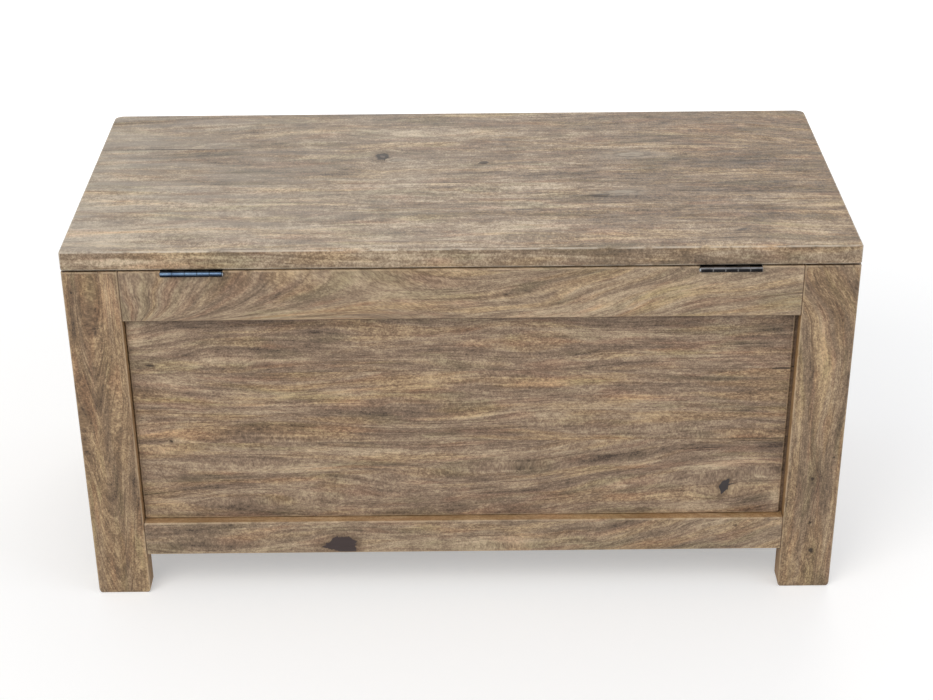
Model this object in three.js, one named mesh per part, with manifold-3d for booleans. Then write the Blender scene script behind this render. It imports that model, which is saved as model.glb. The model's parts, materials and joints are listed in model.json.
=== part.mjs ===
// Mule chest: a lidded well above two drawers, in frame and panel construction.
// Millimetres, +Z up, z = 0 on the floor. The drawers face -Y and the hinges are at +Y.
import * as THREE from 'three';
import { mergeVertices } from 'three/addons/utils/BufferGeometryUtils.js';
import { RoundedBoxGeometry } from 'three/addons/geometries/RoundedBoxGeometry.js';
import Module from 'manifold-3d';

const wasm = await Module();
wasm.setup();

// Closed chest, without the hinge barrels and knobs
const chestWidth = 980;
const chestDepth = 449;
const chestHeight = 507;

// Fits
const glueLine = 0.1;
const looseFit = 0.3;
const cutOverrun = 5;
const weldDistance = 0.001;

// Frames of the four faces
const frameThickness = 29;
const legWidth = 69;
const legSideWidth = 58;
const topRailHeight = 68.5;
const midRailHeight = 35;
const bottomRailHeight = 49;
const footHeight = 62;
const dividerWidth = 35;
const cornerRound = 2.5;
const footRound = 4.5;
const tenonThickness = 10;
const tenonLength = 28;
const postTenonLength = 18;
const tenonShoulder = 12;
const dividerTenonLength = 12;
const dividerTenonShoulder = 7;

// Panels: a field set back from the frame, with a thinner tongue all round in the frame's grooves
const panelRecess = 12;
const panelThickness = 14;
const rebateDepth = 4;
const tongueThickness = 6;
const tongueLength = 8;
const grooveDepth = 10;
const panelEdgeGap = 1;
const backPanelShrinkage = 4.5;
const backPanelShares = [0.27, 0.345, 0.385];

// Lid
const lidThickness = 25.5;
const lidGap = 2;
const lidFrontCorner = 13;
const lidBackCorner = 3;
const lidEase = 2.5;
const lidBoardShares = [0.26, 0.184, 0.273, 0.283];
const battenWidth = 60;
const battenThickness = 18;
const battenInset = 240;
const battenEndRoom = 24;
const battenEase = 3;
const padRadius = 8;
const padInset = 92;

// Butt hinges
const hingeLength = 76;
const hingeInset = 160;
const hingeLeafWidth = 25;
const hingeLeafThickness = 2;
const barrelRadius = 3.6;
const barrelStandoff = 0.4;
const knuckleCount = 5;
const pinRadius = 2;
const pinHeadRadius = 3.2;
const pinHeadLength = 1.6;
const pinDomeShares = [0.85, 0.6];
const hingeScrewRadius = 2.1;
const hingeScrewHeadRadius = 3.9;
const hingeScrewShares = [[-0.36, 0.4], [0, 0.66], [0.36, 0.4]];

// Lid stay
const lidOpenAngle = 95;
const stayRestAngle = 14;
const stayRadiusShare = 0.5;
const stayPivotDrop = 12;
const stayArmWidth = 13;
const stayArmThickness = 2.5;
const stayPlateThickness = 2;
const stayPlateLength = 30;
const stayPlateWidth = 20;
const stayPlateScrewInset = 5;
const studRadius = 3;
const studHeadRadius = 5.2;
const studHeadThickness = 1.5;
const bracketThickness = 2.5;
const bracketLength = 44;
const bracketWidth = 22;
const bracketEarRadius = 7.5;
const bracketScrewInset = 8;
const fittingScrewRadius = 1.8;
const fittingScrewHeadRadius = 3.4;

// Well, measured from its floor to the top of the frame, with the kickers and runners below it
const wellDepth = 180;
const floorThickness = 12;
const runnerThickness = 20;
const runnerLedge = 20;
const guideHeight = 12;

// Drawers
const drawerGap = 1.5;
const drawerSetback = 0.5;
const drawerFrontThickness = 22;
const drawerFrontEase = 1.5;
const drawerLap = 10;
const drawerSideThickness = 12;
const drawerTopRoom = 3;
const drawerBackDrop = 12;
const drawerBackRoom = 20;
const drawerBottomThickness = 6;
const drawerBottomRise = 9;
const drawerGrooveDepth = 6;

// Knobs: radius and height shares of the turned profile, from the crown to the foot
const knobRadius = 16;
const knobProjection = 26;
const knobStudRadius = 2.5;
const knobStudProud = 9;
const knobProfileShares = [
  [0, 1], [0.42, 0.985], [0.76, 0.92], [0.96, 0.79], [1, 0.66], [0.9, 0.53],
  [0.6, 0.42], [0.41, 0.33], [0.38, 0.2], [0.5, 0.12], [0.69, 0.09], [0.69, 0],
];

// Smoothness of round shapes, in facets
const roundFacets = 24;
const screwFacets = 12;
const cornerFacets = 5;
const footFacets = 3;
const lidEaseFacets = 2;
const easeFacets = 1;

// Levels and reaches worked out from the sizes above
const halfWidth = chestWidth / 2;
const halfDepth = chestDepth / 2;
const innerX = halfWidth - frameThickness;
const innerY = halfDepth - frameThickness;
const openingX = halfWidth - legWidth;
const openingY = halfDepth - legSideWidth;
const lidUnderside = chestHeight - lidThickness;
const frameTop = lidUnderside - lidGap;
const openingTop = frameTop - topRailHeight;
const openingBottom = footHeight + bottomRailHeight;
const midRailTop = frameTop - wellDepth;
const drawerTop = midRailTop - midRailHeight;
const floorUnderside = midRailTop - floorThickness;
const hingeY = halfDepth + barrelRadius + barrelStandoff;
const hingeZ = lidUnderside - glueLine - barrelRadius;

// Finishes
const finishes = {
  lidWood: { color: 0xaa9989, roughness: 0.55, metalness: 0 },
  frameWood: { color: 0x937e68, roughness: 0.62, metalness: 0 },
  panelWood: { color: 0x917a66, roughness: 0.62, metalness: 0 },
  insideWood: { color: 0xb39b78, roughness: 0.75, metalness: 0 },
  plywood: { color: 0xc2a983, roughness: 0.8, metalness: 0 },
  blackSteel: { color: 0x2b2a2b, roughness: 0.3, metalness: 0.9 },
  castIron: { color: 0x26241f, roughness: 0.6, metalness: 0.8 },
  felt: { color: 0x4a4038, roughness: 1, metalness: 0 },
};

// Bodies: each group is placed so that turning or sliding it moves its pieces as on the chest
const chest = new THREE.Group();
const carcass = new THREE.Group();
const lid = new THREE.Group();
const stay = new THREE.Group();
chest.add(carcass, lid, stay);
lid.position.set(0, hingeY, hingeZ);

// A geometry as a solid, with its shared corners welded
function solidOf(geometry) {
  const bare = geometry.clone();
  bare.deleteAttribute('normal');
  bare.deleteAttribute('uv');
  const welded = mergeVertices(bare, weldDistance);
  return new wasm.Manifold(new wasm.Mesh({
    numProp: 3,
    vertProperties: new Float32Array(welded.attributes.position.array),
    triVerts: new Uint32Array(welded.index.array),
  }));
}

// A solid as a piece of its body, with its origin at its own centre
function addPiece(body, name, finish, solid) {
  const { vertProperties, triVerts } = solid.getMesh();
  const geometry = new THREE.BufferGeometry();
  geometry.setAttribute('position', new THREE.BufferAttribute(vertProperties, 3));
  geometry.setIndex(new THREE.BufferAttribute(triVerts, 1));
  geometry.computeVertexNormals();
  geometry.computeBoundingBox();
  const centre = geometry.boundingBox.getCenter(new THREE.Vector3());
  geometry.translate(-centre.x, -centre.y, -centre.z);
  const piece = new THREE.Mesh(geometry, new THREE.MeshStandardMaterial(finish));
  piece.name = name;
  piece.position.copy(centre).sub(body.position);
  body.add(piece);
}

function inOrder(a, b) {
  return [Math.min(a, b), Math.max(a, b)];
}

function around(centre, halfLength) {
  return [centre - halfLength, centre + halfLength];
}

// A block between two corners, with its edges rounded by ease
function block([x0, x1], [y0, y1], [z0, z1], ease = 0) {
  const size = [x1 - x0, y1 - y0, z1 - z0];
  const geometry = ease > 0
    ? new RoundedBoxGeometry(...size, easeFacets, ease)
    : new THREE.BoxGeometry(...size);
  geometry.translate((x0 + x1) / 2, (y0 + y1) / 2, (z0 + z1) / 2);
  return solidOf(geometry);
}

// A rod or cone along Z; one radius for each end
function rodAlongZ(x, y, [z0, z1], radius, topRadius = radius, facets = roundFacets) {
  const geometry = new THREE.CylinderGeometry(topRadius, radius, z1 - z0, facets);
  geometry.rotateX(Math.PI / 2);
  geometry.translate(x, y, (z0 + z1) / 2);
  return solidOf(geometry);
}

function rodAlongX([x0, x1], y, z, radius, endRadius = radius, facets = roundFacets) {
  const geometry = new THREE.CylinderGeometry(endRadius, radius, x1 - x0, facets);
  geometry.rotateZ(-Math.PI / 2);
  geometry.translate((x0 + x1) / 2, y, z);
  return solidOf(geometry);
}

// An outline in the (y, z) plane, extruded along X; the outline is turned and moved there first
const sidePlane = new THREE.Matrix4().makeBasis(
  new THREE.Vector3(0, 1, 0), new THREE.Vector3(0, 0, 1), new THREE.Vector3(1, 0, 0),
);

function prismAlongX(shape, [x0, x1], [y, z], turn = 0) {
  const geometry = new THREE.ExtrudeGeometry(shape, {
    depth: x1 - x0, bevelEnabled: false, curveSegments: roundFacets / 2,
  });
  geometry.rotateZ(turn);
  geometry.translate(y, z, x0);
  geometry.applyMatrix4(sidePlane);
  return solidOf(geometry);
}

// A bar outline with round ends, from one end centre to the other along its own first axis
function roundEndedBar(path, start, end, halfBreadth) {
  path.moveTo(start, -halfBreadth);
  path.lineTo(end, -halfBreadth);
  path.absarc(end, 0, halfBreadth, -Math.PI / 2, Math.PI / 2, false);
  path.lineTo(start, halfBreadth);
  path.absarc(start, 0, halfBreadth, Math.PI / 2, 3 * Math.PI / 2, false);
  return path;
}

// Frame coordinates: u along a face, v inwards from its outer surface
const frames = {
  back: { span: openingX, tenon: tenonLength, place: (u, v) => [u, halfDepth - v] },
  front: { span: openingX, tenon: tenonLength, place: (u, v) => [u, v - halfDepth] },
  left: { span: openingY, tenon: postTenonLength, place: (u, v) => [v - halfWidth, u] },
  right: { span: openingY, tenon: postTenonLength, place: (u, v) => [halfWidth - v, u] },
};

function frameBlock(face, [u0, u1], [v0, v1], z, ease) {
  const [xa, ya] = frames[face].place(u0, v0);
  const [xb, yb] = frames[face].place(u1, v1);
  return block(inOrder(xa, xb), inOrder(ya, yb), z, ease);
}

// A rail's tenon at one end, or, with play, the mortise that takes it
function tenonBlock(face, end, [bottom, top], play = 0) {
  const { span, tenon } = frames[face];
  const inset = (frameThickness - tenonThickness) / 2 - play;
  return frameBlock(
    face,
    inOrder(end * (span - tenon), end * (span + tenon + play)),
    [inset, frameThickness - inset],
    [bottom + tenonShoulder - play, top - tenonShoulder + play],
  );
}

// The groove round a panel's opening, cut from legs and rails alike
function grooveBlock(face, [bottom, top]) {
  const start = panelRecess + rebateDepth;
  return frameBlock(
    face,
    around(0, frames[face].span + grooveDepth),
    [start - looseFit, start + tongueThickness + looseFit],
    [bottom - grooveDepth, top + grooveDepth],
  );
}

// Which rails and panel openings each face has, by their levels
const railLevels = {
  top: [openingTop, frameTop],
  mid: [drawerTop, midRailTop],
  bottom: [footHeight, openingBottom],
};
const faceRails = {
  back: ['top', 'bottom'],
  front: ['top', 'mid', 'bottom'],
  left: ['top', 'bottom'],
  right: ['top', 'bottom'],
};
const panelLevels = {
  back: [openingBottom, openingTop],
  front: [midRailTop, openingTop],
  left: [openingBottom, openingTop],
  right: [openingBottom, openingTop],
};

// Legs: a wide stile on the front or back and a post glued inside it, with one foot rounded at the floor
function legForm(sx, sy) {
  const outline = new THREE.Shape([
    [halfWidth, halfDepth], [openingX, halfDepth], [openingX, innerY],
    [innerX, innerY], [innerX, openingY], [halfWidth, openingY],
  ].map(([x, y]) => new THREE.Vector2(sx * x, sy * y)));
  const geometry = new THREE.ExtrudeGeometry(outline, {
    depth: frameTop,
    bevelThickness: footRound,
    bevelSize: footRound,
    bevelOffset: -footRound,
    bevelSegments: footFacets,
  });
  geometry.translate(0, 0, footRound);
  return solidOf(geometry);
}

// The same leg with only its outer corner rounded
function cornerForm(sx, sy) {
  const reachX = inOrder(sx * (openingX - cutOverrun), sx * halfWidth);
  const reachY = inOrder(sy * (openingY - cutOverrun), sy * halfDepth);
  const rounded = block(reachX, reachY, [-cutOverrun, frameTop + cutOverrun], cornerRound);
  return rounded.intersect(block(reachX, reachY, [0, frameTop]));
}

function makeLegs() {
  for (const [sy, face] of [[-1, 'front'], [1, 'back']]) {
    for (const [sx, side] of [[-1, 'left'], [1, 'right']]) {
      const form = legForm(sx, sy).intersect(cornerForm(sx, sy));
      const stileX = inOrder(sx * openingX, sx * halfWidth);
      const stileY = inOrder(sy * (innerY + glueLine / 2), sy * halfDepth);
      let stile = form.intersect(block(stileX, stileY, [0, frameTop]));
      for (const rail of faceRails[face]) {
        stile = stile.subtract(tenonBlock(face, sx, railLevels[rail], looseFit));
      }
      stile = stile.subtract(grooveBlock(face, panelLevels[face]));
      addPiece(carcass, `${face}_${side}_leg`, finishes.frameWood, stile);

      const postX = inOrder(sx * innerX, sx * halfWidth);
      const postY = inOrder(sy * openingY, sy * (innerY - glueLine / 2));
      let post = form.intersect(block(postX, postY, [0, frameTop]));
      for (const rail of faceRails[side]) {
        post = post.subtract(tenonBlock(side, sy, railLevels[rail], looseFit));
      }
      post = post.subtract(grooveBlock(side, panelLevels[side]));
      addPiece(carcass, `${face}_${side}_side_post`, finishes.frameWood, post);
    }
  }
}

// Rails between the legs, with a tenon at each end
function railSolid(face, rail) {
  const [bottom, top] = railLevels[rail];
  const { span } = frames[face];
  let solid = frameBlock(face, around(0, span - glueLine), [0, frameThickness], [bottom, top]);
  for (const end of [-1, 1]) {
    solid = solid.add(tenonBlock(face, end, [bottom, top]));
  }
  return solid.subtract(grooveBlock(face, panelLevels[face]));
}

function makeRails() {
  for (const face of Object.keys(faceRails)) {
    for (const rail of faceRails[face]) {
      let solid = railSolid(face, rail);
      if (face === 'back' && rail === 'top') {
        for (const side of [-1, 1]) {
          solid = solid.subtract(hingeMortise(side));
        }
      }
      if (face === 'front' && rail !== 'top') {
        const end = rail === 'mid' ? -1 : 1;
        solid = solid.subtract(dividerTenon(end, looseFit));
      }
      addPiece(carcass, `${face}_${rail}_rail`, finishes.frameWood, solid);
    }
  }
}

// Drawer divider: a short post between the middle and bottom rails of the front
function dividerTenon(end, play = 0) {
  const level = end > 0 ? openingBottom : drawerTop;
  const inset = (frameThickness - tenonThickness) / 2 - play;
  return frameBlock(
    'front',
    around(0, dividerWidth / 2 - dividerTenonShoulder + play),
    [inset, frameThickness - inset],
    around(level, dividerTenonLength + play),
  );
}

function makeDivider() {
  const body = frameBlock(
    'front', around(0, dividerWidth / 2), [0, frameThickness],
    [openingBottom + glueLine, drawerTop - glueLine],
  );
  addPiece(carcass, 'drawer_divider', finishes.frameWood, body.add(dividerTenon(-1)).add(dividerTenon(1)));
}

// One board of a panel: its field, and its tongue where it meets the frame
function panelBoard(face, [low, high], [z0, z1], [lowGap, highGap]) {
  const { span } = frames[face];
  const [bottom, top] = panelLevels[face];
  const atBottom = z0 === bottom;
  const atTop = z1 === top;
  const field = frameBlock(
    face,
    [low + lowGap, high - highGap],
    [panelRecess, panelRecess + panelThickness],
    [atBottom ? z0 + panelEdgeGap : z0 + glueLine / 2, atTop ? z1 - panelEdgeGap : z1 - glueLine / 2],
  );
  const tongueStart = panelRecess + rebateDepth;
  const tongue = frameBlock(
    face,
    around(0, span + tongueLength),
    [tongueStart, tongueStart + tongueThickness],
    [atBottom ? z0 - tongueLength : z0 + glueLine / 2, atTop ? z1 + tongueLength : z1 - glueLine / 2],
  );
  return field.add(tongue);
}

function makePanels() {
  const [bottom, top] = panelLevels.back;
  let upper = top;
  backPanelShares.forEach((share, i) => {
    const last = i === backPanelShares.length - 1;
    const lower = last ? bottom : upper - share * (top - bottom);
    const board = panelBoard(
      'back', [-openingX, openingX], [lower, upper], [backPanelShrinkage, panelEdgeGap],
    );
    addPiece(carcass, `back_panel_board_${i + 1}`, finishes.panelWood, board);
    upper = lower;
  });
  for (const face of ['front', 'left', 'right']) {
    const { span } = frames[face];
    const board = panelBoard(face, [-span, span], panelLevels[face], [panelEdgeGap, panelEdgeGap]);
    addPiece(carcass, `${face}_panel`, finishes.panelWood, board);
  }
}

// Well floor on three kickers; the drawers run on three runners below
function makeInside() {
  const length = around(0, innerY - glueLine);
  const floor = block(
    around(0, innerX - looseFit), around(0, innerY - looseFit), [floorUnderside, midRailTop],
  );
  addPiece(carcass, 'well_floor', finishes.insideWood, floor);

  const ledgeTop = openingBottom;
  const ledge = [ledgeTop - runnerThickness, ledgeTop];
  const guide = [ledgeTop - glueLine, ledgeTop + guideHeight];
  const kicker = [drawerTop, floorUnderside - glueLine];
  for (const [sx, side] of [[-1, 'left'], [1, 'right']]) {
    const wide = inOrder(sx * (openingX - runnerLedge), sx * (innerX - glueLine));
    const narrow = inOrder(sx * openingX, sx * (innerX - glueLine));
    addPiece(carcass, `${side}_kicker`, finishes.insideWood, block(wide, length, kicker));
    const runner = block(wide, length, ledge).add(block(narrow, length, guide));
    addPiece(carcass, `${side}_runner`, finishes.insideWood, runner);
  }
  const wide = around(0, dividerWidth / 2 + runnerLedge);
  const narrow = around(0, dividerWidth / 2);
  addPiece(carcass, 'centre_kicker', finishes.insideWood, block(wide, length, kicker));
  const runner = block(wide, length, ledge).add(block(narrow, length, guide));
  addPiece(carcass, 'centre_runner', finishes.insideWood, runner);
}

// Lid: one rounded slab, parted into boards along its width from the back to the front
function lidSlab() {
  const outline = new THREE.Shape();
  outline.moveTo(lidFrontCorner - halfWidth, -halfDepth);
  const corners = [
    [1, -1, lidFrontCorner], [1, 1, lidBackCorner], [-1, 1, lidBackCorner], [-1, -1, lidFrontCorner],
  ];
  corners.forEach(([sx, sy, radius], i) => {
    const x = sx * (halfWidth - radius);
    const y = sy * (halfDepth - radius);
    const start = (i - 1) * Math.PI / 2;
    outline.absarc(x, y, radius, start, start + Math.PI / 2, false);
  });
  const geometry = new THREE.ExtrudeGeometry(outline, {
    depth: lidThickness - 2 * lidEase,
    bevelThickness: lidEase,
    bevelSize: lidEase,
    bevelOffset: -lidEase,
    bevelSegments: lidEaseFacets,
    curveSegments: cornerFacets,
  });
  geometry.translate(0, 0, lidUnderside + lidEase);
  return solidOf(geometry);
}

function makeLid() {
  const slab = lidSlab();
  const height = [lidUnderside - cutOverrun, chestHeight + cutOverrun];
  let back = halfDepth;
  lidBoardShares.forEach((share, i) => {
    const last = i === lidBoardShares.length - 1;
    const front = last ? -halfDepth : back - share * chestDepth;
    const strip = block(
      around(0, halfWidth + cutOverrun),
      [last ? front - cutOverrun : front + glueLine / 2, i === 0 ? back + cutOverrun : back - glueLine / 2],
      height,
    );
    addPiece(lid, `lid_board_${i + 1}`, finishes.lidWood, slab.intersect(strip));
    back = front;
  });
  for (const [sx, side] of [[-1, 'left'], [1, 'right']]) {
    const batten = block(
      around(sx * (halfWidth - battenInset), battenWidth / 2),
      around(0, innerY - battenEndRoom),
      [lidUnderside - glueLine - battenThickness, lidUnderside - glueLine],
      battenEase,
    );
    addPiece(lid, `lid_batten_${side}`, finishes.insideWood, batten);
    const pad = rodAlongZ(
      sx * (halfWidth - padInset), frameThickness / 2 - halfDepth,
      [frameTop + glueLine, lidUnderside - glueLine], padRadius,
    );
    addPiece(carcass, `lid_pad_${side}`, finishes.felt, pad);
  }
}

// Hinges: the rail leaf lies at the bottom of the barrel, the lid leaf at its top
const knucklePitch = hingeLength / knuckleCount;
const hingeReach = hingeLeafWidth - barrelRadius - looseFit;

function hingeCentre(side) {
  return side * (halfWidth - hingeInset);
}

function leafLevels(up) {
  return inOrder(hingeZ + up * barrelRadius, hingeZ + up * (barrelRadius - hingeLeafThickness));
}

function hingeMortise(side) {
  return block(
    around(hingeCentre(side), hingeLength / 2 + looseFit),
    [hingeY - hingeLeafWidth - looseFit, halfDepth + cutOverrun],
    [hingeZ - barrelRadius - glueLine, frameTop + cutOverrun],
  );
}

// A countersunk hole through a leaf; up is the side of the barrel that the leaf is on
function leafScrewHole(x, y, up) {
  const [low, high] = leafLevels(up);
  const through = rodAlongZ(
    x, y, [low - looseFit, high + looseFit], hingeScrewRadius, hingeScrewRadius, screwFacets,
  );
  const wide = up > 0 ? low : high;
  const narrow = up > 0 ? high : low;
  const radii = up > 0 ? [hingeScrewHeadRadius, hingeScrewRadius] : [hingeScrewRadius, hingeScrewHeadRadius];
  return through.add(rodAlongZ(x, y, inOrder(wide, narrow), ...radii, screwFacets));
}

function hingeLeaf(side, up, firstKnuckle) {
  const centre = hingeCentre(side);
  const levels = leafLevels(up);
  const plateEdge = hingeY - barrelRadius - looseFit;
  let leaf = block(around(centre, hingeLength / 2), [hingeY - hingeLeafWidth, plateEdge], levels);
  for (let k = firstKnuckle; k < knuckleCount; k += 2) {
    const start = centre - hingeLength / 2 + k * knucklePitch;
    const reach = [start + looseFit / 2, start + knucklePitch - looseFit / 2];
    leaf = leaf.add(rodAlongX(reach, hingeY, hingeZ, barrelRadius));
    leaf = leaf.add(block(reach, [plateEdge - looseFit, hingeY], levels));
  }
  leaf = leaf.subtract(rodAlongX(
    around(centre, hingeLength / 2 + cutOverrun), hingeY, hingeZ, pinRadius + looseFit,
  ));
  for (const [along, across] of hingeScrewShares) {
    const x = centre + side * along * hingeLength;
    const y = plateEdge - across * hingeReach;
    leaf = leaf.subtract(leafScrewHole(x, y, up));
  }
  return leaf;
}

// A pin flush with the outer end of the barrel and domed at the end towards the chest's middle
function hingePin(side) {
  const tail = -hingeLength / 2;
  const neck = hingeLength / 2 + looseFit;
  const crown = neck + pinHeadLength;
  const profile = [
    [0, tail], [pinRadius, tail], [pinRadius, neck], [pinHeadRadius, neck],
    [pinDomeShares[0] * pinHeadRadius, neck + pinDomeShares[1] * pinHeadLength], [0, crown],
  ].map(([r, y]) => new THREE.Vector2(r, y));
  const geometry = new THREE.LatheGeometry(profile, roundFacets);
  geometry.rotateZ(side * Math.PI / 2);
  geometry.translate(hingeCentre(side), hingeY, hingeZ);
  return solidOf(geometry);
}

function makeHinges() {
  for (const [sx, side] of [[-1, 'left'], [1, 'right']]) {
    addPiece(carcass, `${side}_hinge_rail_leaf`, finishes.blackSteel, hingeLeaf(sx, -1, 0));
    addPiece(lid, `${side}_hinge_lid_leaf`, finishes.blackSteel, hingeLeaf(sx, 1, 1));
    addPiece(carcass, `${side}_hinge_pin`, finishes.blackSteel, hingePin(sx));
  }
}

// Lid stay: the arm's pivot on the lid and the stud on the side rail lie equally far from the hinge line,
// so the arm turns half as fast as the lid. The well's depth leaves room for the arm below its pivot.
const toRadians = Math.PI / 180;
const stayRadius = stayRadiusShare * wellDepth;
const pivotZ = lidUnderside - stayPivotDrop;
const pivotY = hingeY - Math.sqrt(stayRadius ** 2 - (hingeZ - pivotZ) ** 2);
const pivotAngle = Math.atan2(pivotZ - hingeZ, pivotY - hingeY);
const studAngle = pivotAngle + stayRestAngle * toRadians;
const studY = hingeY + stayRadius * Math.cos(studAngle);
const studZ = hingeZ + stayRadius * Math.sin(studAngle);
const armTurn = (pivotAngle + studAngle) / 2 + Math.PI / 2;
const slotStart = 2 * stayRadius * Math.sin(stayRestAngle * toRadians / 2);
const slotEnd = 2 * stayRadius * Math.sin((stayRestAngle + lidOpenAngle) * toRadians / 2);
const plateX = [innerX - glueLine - stayPlateThickness, innerX - glueLine];
const armStandoff = studHeadThickness + 2 * looseFit;
const armX = [plateX[0] - armStandoff - stayArmThickness, plateX[0] - armStandoff];
const earX = [armX[0] - looseFit - bracketThickness, armX[0] - looseFit];
stay.position.set(0, pivotY, pivotZ);

function makeStayArm() {
  const bar = roundEndedBar(new THREE.Shape(), 0, slotEnd + studRadius, stayArmWidth / 2);
  const eye = new THREE.Path();
  eye.absarc(0, 0, studRadius + looseFit, 0, 2 * Math.PI, false);
  bar.holes.push(eye, roundEndedBar(new THREE.Path(), slotStart, slotEnd, studRadius + looseFit));
  addPiece(stay, 'stay_arm', finishes.blackSteel, prismAlongX(bar, armX, [pivotY, pivotZ], armTurn));
}

function makeStudPlate() {
  const headX = around(armX[0] - looseFit - studHeadThickness / 2, studHeadThickness / 2);
  let plate = block(plateX, around(studY, stayPlateWidth / 2), around(studZ, stayPlateLength / 2));
  plate = plate.add(rodAlongX([headX[0], plateX[1]], studY, studZ, studRadius));
  plate = plate.add(rodAlongX(headX, studY, studZ, studHeadRadius));
  for (const end of [-1, 1]) {
    const z = studZ + end * (stayPlateLength / 2 - stayPlateScrewInset);
    const through = [plateX[0] - looseFit, plateX[1] + looseFit];
    plate = plate.subtract(rodAlongX(
      through, studY, z, fittingScrewRadius, fittingScrewRadius, screwFacets,
    ));
    plate = plate.subtract(rodAlongX(
      plateX, studY, z, fittingScrewHeadRadius, fittingScrewRadius, screwFacets,
    ));
  }
  addPiece(carcass, 'stay_stud_plate', finishes.blackSteel, plate);
}

function makeStayBracket() {
  const baseZ = [lidUnderside - glueLine - bracketThickness, lidUnderside - glueLine];
  const headX = around(armX[1] + looseFit + studHeadThickness / 2, studHeadThickness / 2);
  const ear = roundEndedBar(new THREE.Shape(), 0, stayPivotDrop - glueLine, bracketEarRadius);
  const earTop = block(
    earX, around(pivotY, bracketEarRadius + looseFit), [baseZ[1], baseZ[1] + bracketEarRadius + cutOverrun],
  );
  let bracket = prismAlongX(ear, earX, [pivotY, pivotZ], Math.PI / 2).subtract(earTop);
  bracket = bracket.add(block([earX[1] - bracketWidth, earX[1]], around(pivotY, bracketLength / 2), baseZ));
  bracket = bracket.add(rodAlongX([earX[0], headX[1]], pivotY, pivotZ, studRadius));
  bracket = bracket.add(rodAlongX(headX, pivotY, pivotZ, studHeadRadius));
  for (const end of [-1, 1]) {
    const y = pivotY + end * (bracketLength / 2 - bracketScrewInset);
    const x = earX[1] - bracketWidth / 2;
    const through = [baseZ[0] - looseFit, baseZ[1] + looseFit];
    bracket = bracket.subtract(rodAlongZ(
      x, y, through, fittingScrewRadius, fittingScrewRadius, screwFacets,
    ));
    bracket = bracket.subtract(rodAlongZ(
      x, y, baseZ, fittingScrewHeadRadius, fittingScrewRadius, screwFacets,
    ));
  }
  addPiece(lid, 'stay_lid_bracket', finishes.blackSteel, bracket);
}

// Drawers: the sides are let into rebates behind the front's ends, and the bottom slides in under the back
function makeKnob(body, name, centreX, centreZ, faceY) {
  const foot = faceY - glueLine;
  const tail = faceY + drawerFrontThickness + knobStudProud;
  const turned = knobProfileShares.map(([r, y]) => [r * knobRadius, foot - y * (knobProjection - glueLine)]);
  const profile = [...turned, [knobStudRadius, foot], [knobStudRadius, tail], [0, tail]]
    .map(([r, y]) => new THREE.Vector2(r, y));
  const geometry = new THREE.LatheGeometry(profile, roundFacets);
  geometry.translate(centreX, 0, centreZ);
  addPiece(body, name, finishes.castIron, solidOf(geometry));
}

function makeDrawer(sx, side) {
  const body = new THREE.Group();
  chest.add(body);
  const [x0, x1] = inOrder(sx * (dividerWidth / 2 + drawerGap), sx * (openingX - drawerGap));
  const faceY = drawerSetback - halfDepth;
  const frontY = [faceY, faceY + drawerFrontThickness];
  const backEnd = innerY - drawerBackRoom;
  const front = [openingBottom + drawerGap, drawerTop - drawerGap];
  const sides = [openingBottom + looseFit, drawerTop - drawerTopRoom];
  const bottom = around(sides[0] + drawerBottomRise + drawerBottomThickness / 2, drawerBottomThickness / 2);
  const groove = [bottom[0] - looseFit, bottom[1] + looseFit];
  const inside = [x0 + drawerSideThickness, x1 - drawerSideThickness];
  const grooveX = [inside[0] - drawerGrooveDepth, inside[1] + drawerGrooveDepth];
  const grooveY = [frontY[1] - drawerGrooveDepth, backEnd + cutOverrun];
  const grooveCut = block(grooveX, grooveY, groove);

  const centreX = (x0 + x1) / 2;
  const centreZ = (front[0] + front[1]) / 2;
  const studHole = new THREE.CylinderGeometry(
    knobStudRadius + looseFit, knobStudRadius + looseFit, drawerFrontThickness + 2 * cutOverrun, roundFacets,
  );
  studHole.translate(centreX, (frontY[0] + frontY[1]) / 2, centreZ);
  const rebateY = [faceY + drawerLap, frontY[1] + cutOverrun];
  const rebateZ = [front[0] - cutOverrun, front[1] + cutOverrun];
  const frontPiece = block([x0, x1], frontY, front, drawerFrontEase)
    .subtract(block([x0 - cutOverrun, inside[0]], rebateY, rebateZ))
    .subtract(block([inside[1], x1 + cutOverrun], rebateY, rebateZ))
    .subtract(grooveCut)
    .subtract(solidOf(studHole));
  addPiece(body, `${side}_drawer_front`, finishes.frameWood, frontPiece);

  const sideY = [faceY + drawerLap + glueLine, backEnd];
  const sideX = { left: [x0, inside[0] - glueLine], right: [inside[1] + glueLine, x1] };
  for (const [hand, x] of Object.entries(sideX)) {
    const sidePiece = block(x, sideY, sides).subtract(grooveCut);
    addPiece(body, `${side}_drawer_${hand}_side`, finishes.insideWood, sidePiece);
  }
  addPiece(body, `${side}_drawer_back`, finishes.insideWood, block(
    inside, [backEnd - drawerSideThickness, backEnd], [bottom[1] + glueLine, sides[1] - drawerBackDrop],
  ));
  addPiece(body, `${side}_drawer_bottom`, finishes.plywood, block(
    [grooveX[0] + looseFit, grooveX[1] - looseFit], [grooveY[0] + looseFit, backEnd], bottom,
  ));
  makeKnob(body, `${side}_drawer_knob`, centreX, centreZ, faceY);
}

makeLegs();
makeRails();
makeDivider();
makePanels();
makeInside();
makeLid();
makeHinges();
makeStayArm();
makeStudPlate();
makeStayBracket();
makeDrawer(-1, 'left');
makeDrawer(1, 'right');

// The origin is on the floor, under the middle of the chest with its knobs and hinge barrels
const knobCrown = drawerSetback - halfDepth - knobProjection;
chest.position.y = -(knobCrown + hingeY + barrelRadius) / 2;

export default chest;
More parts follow.
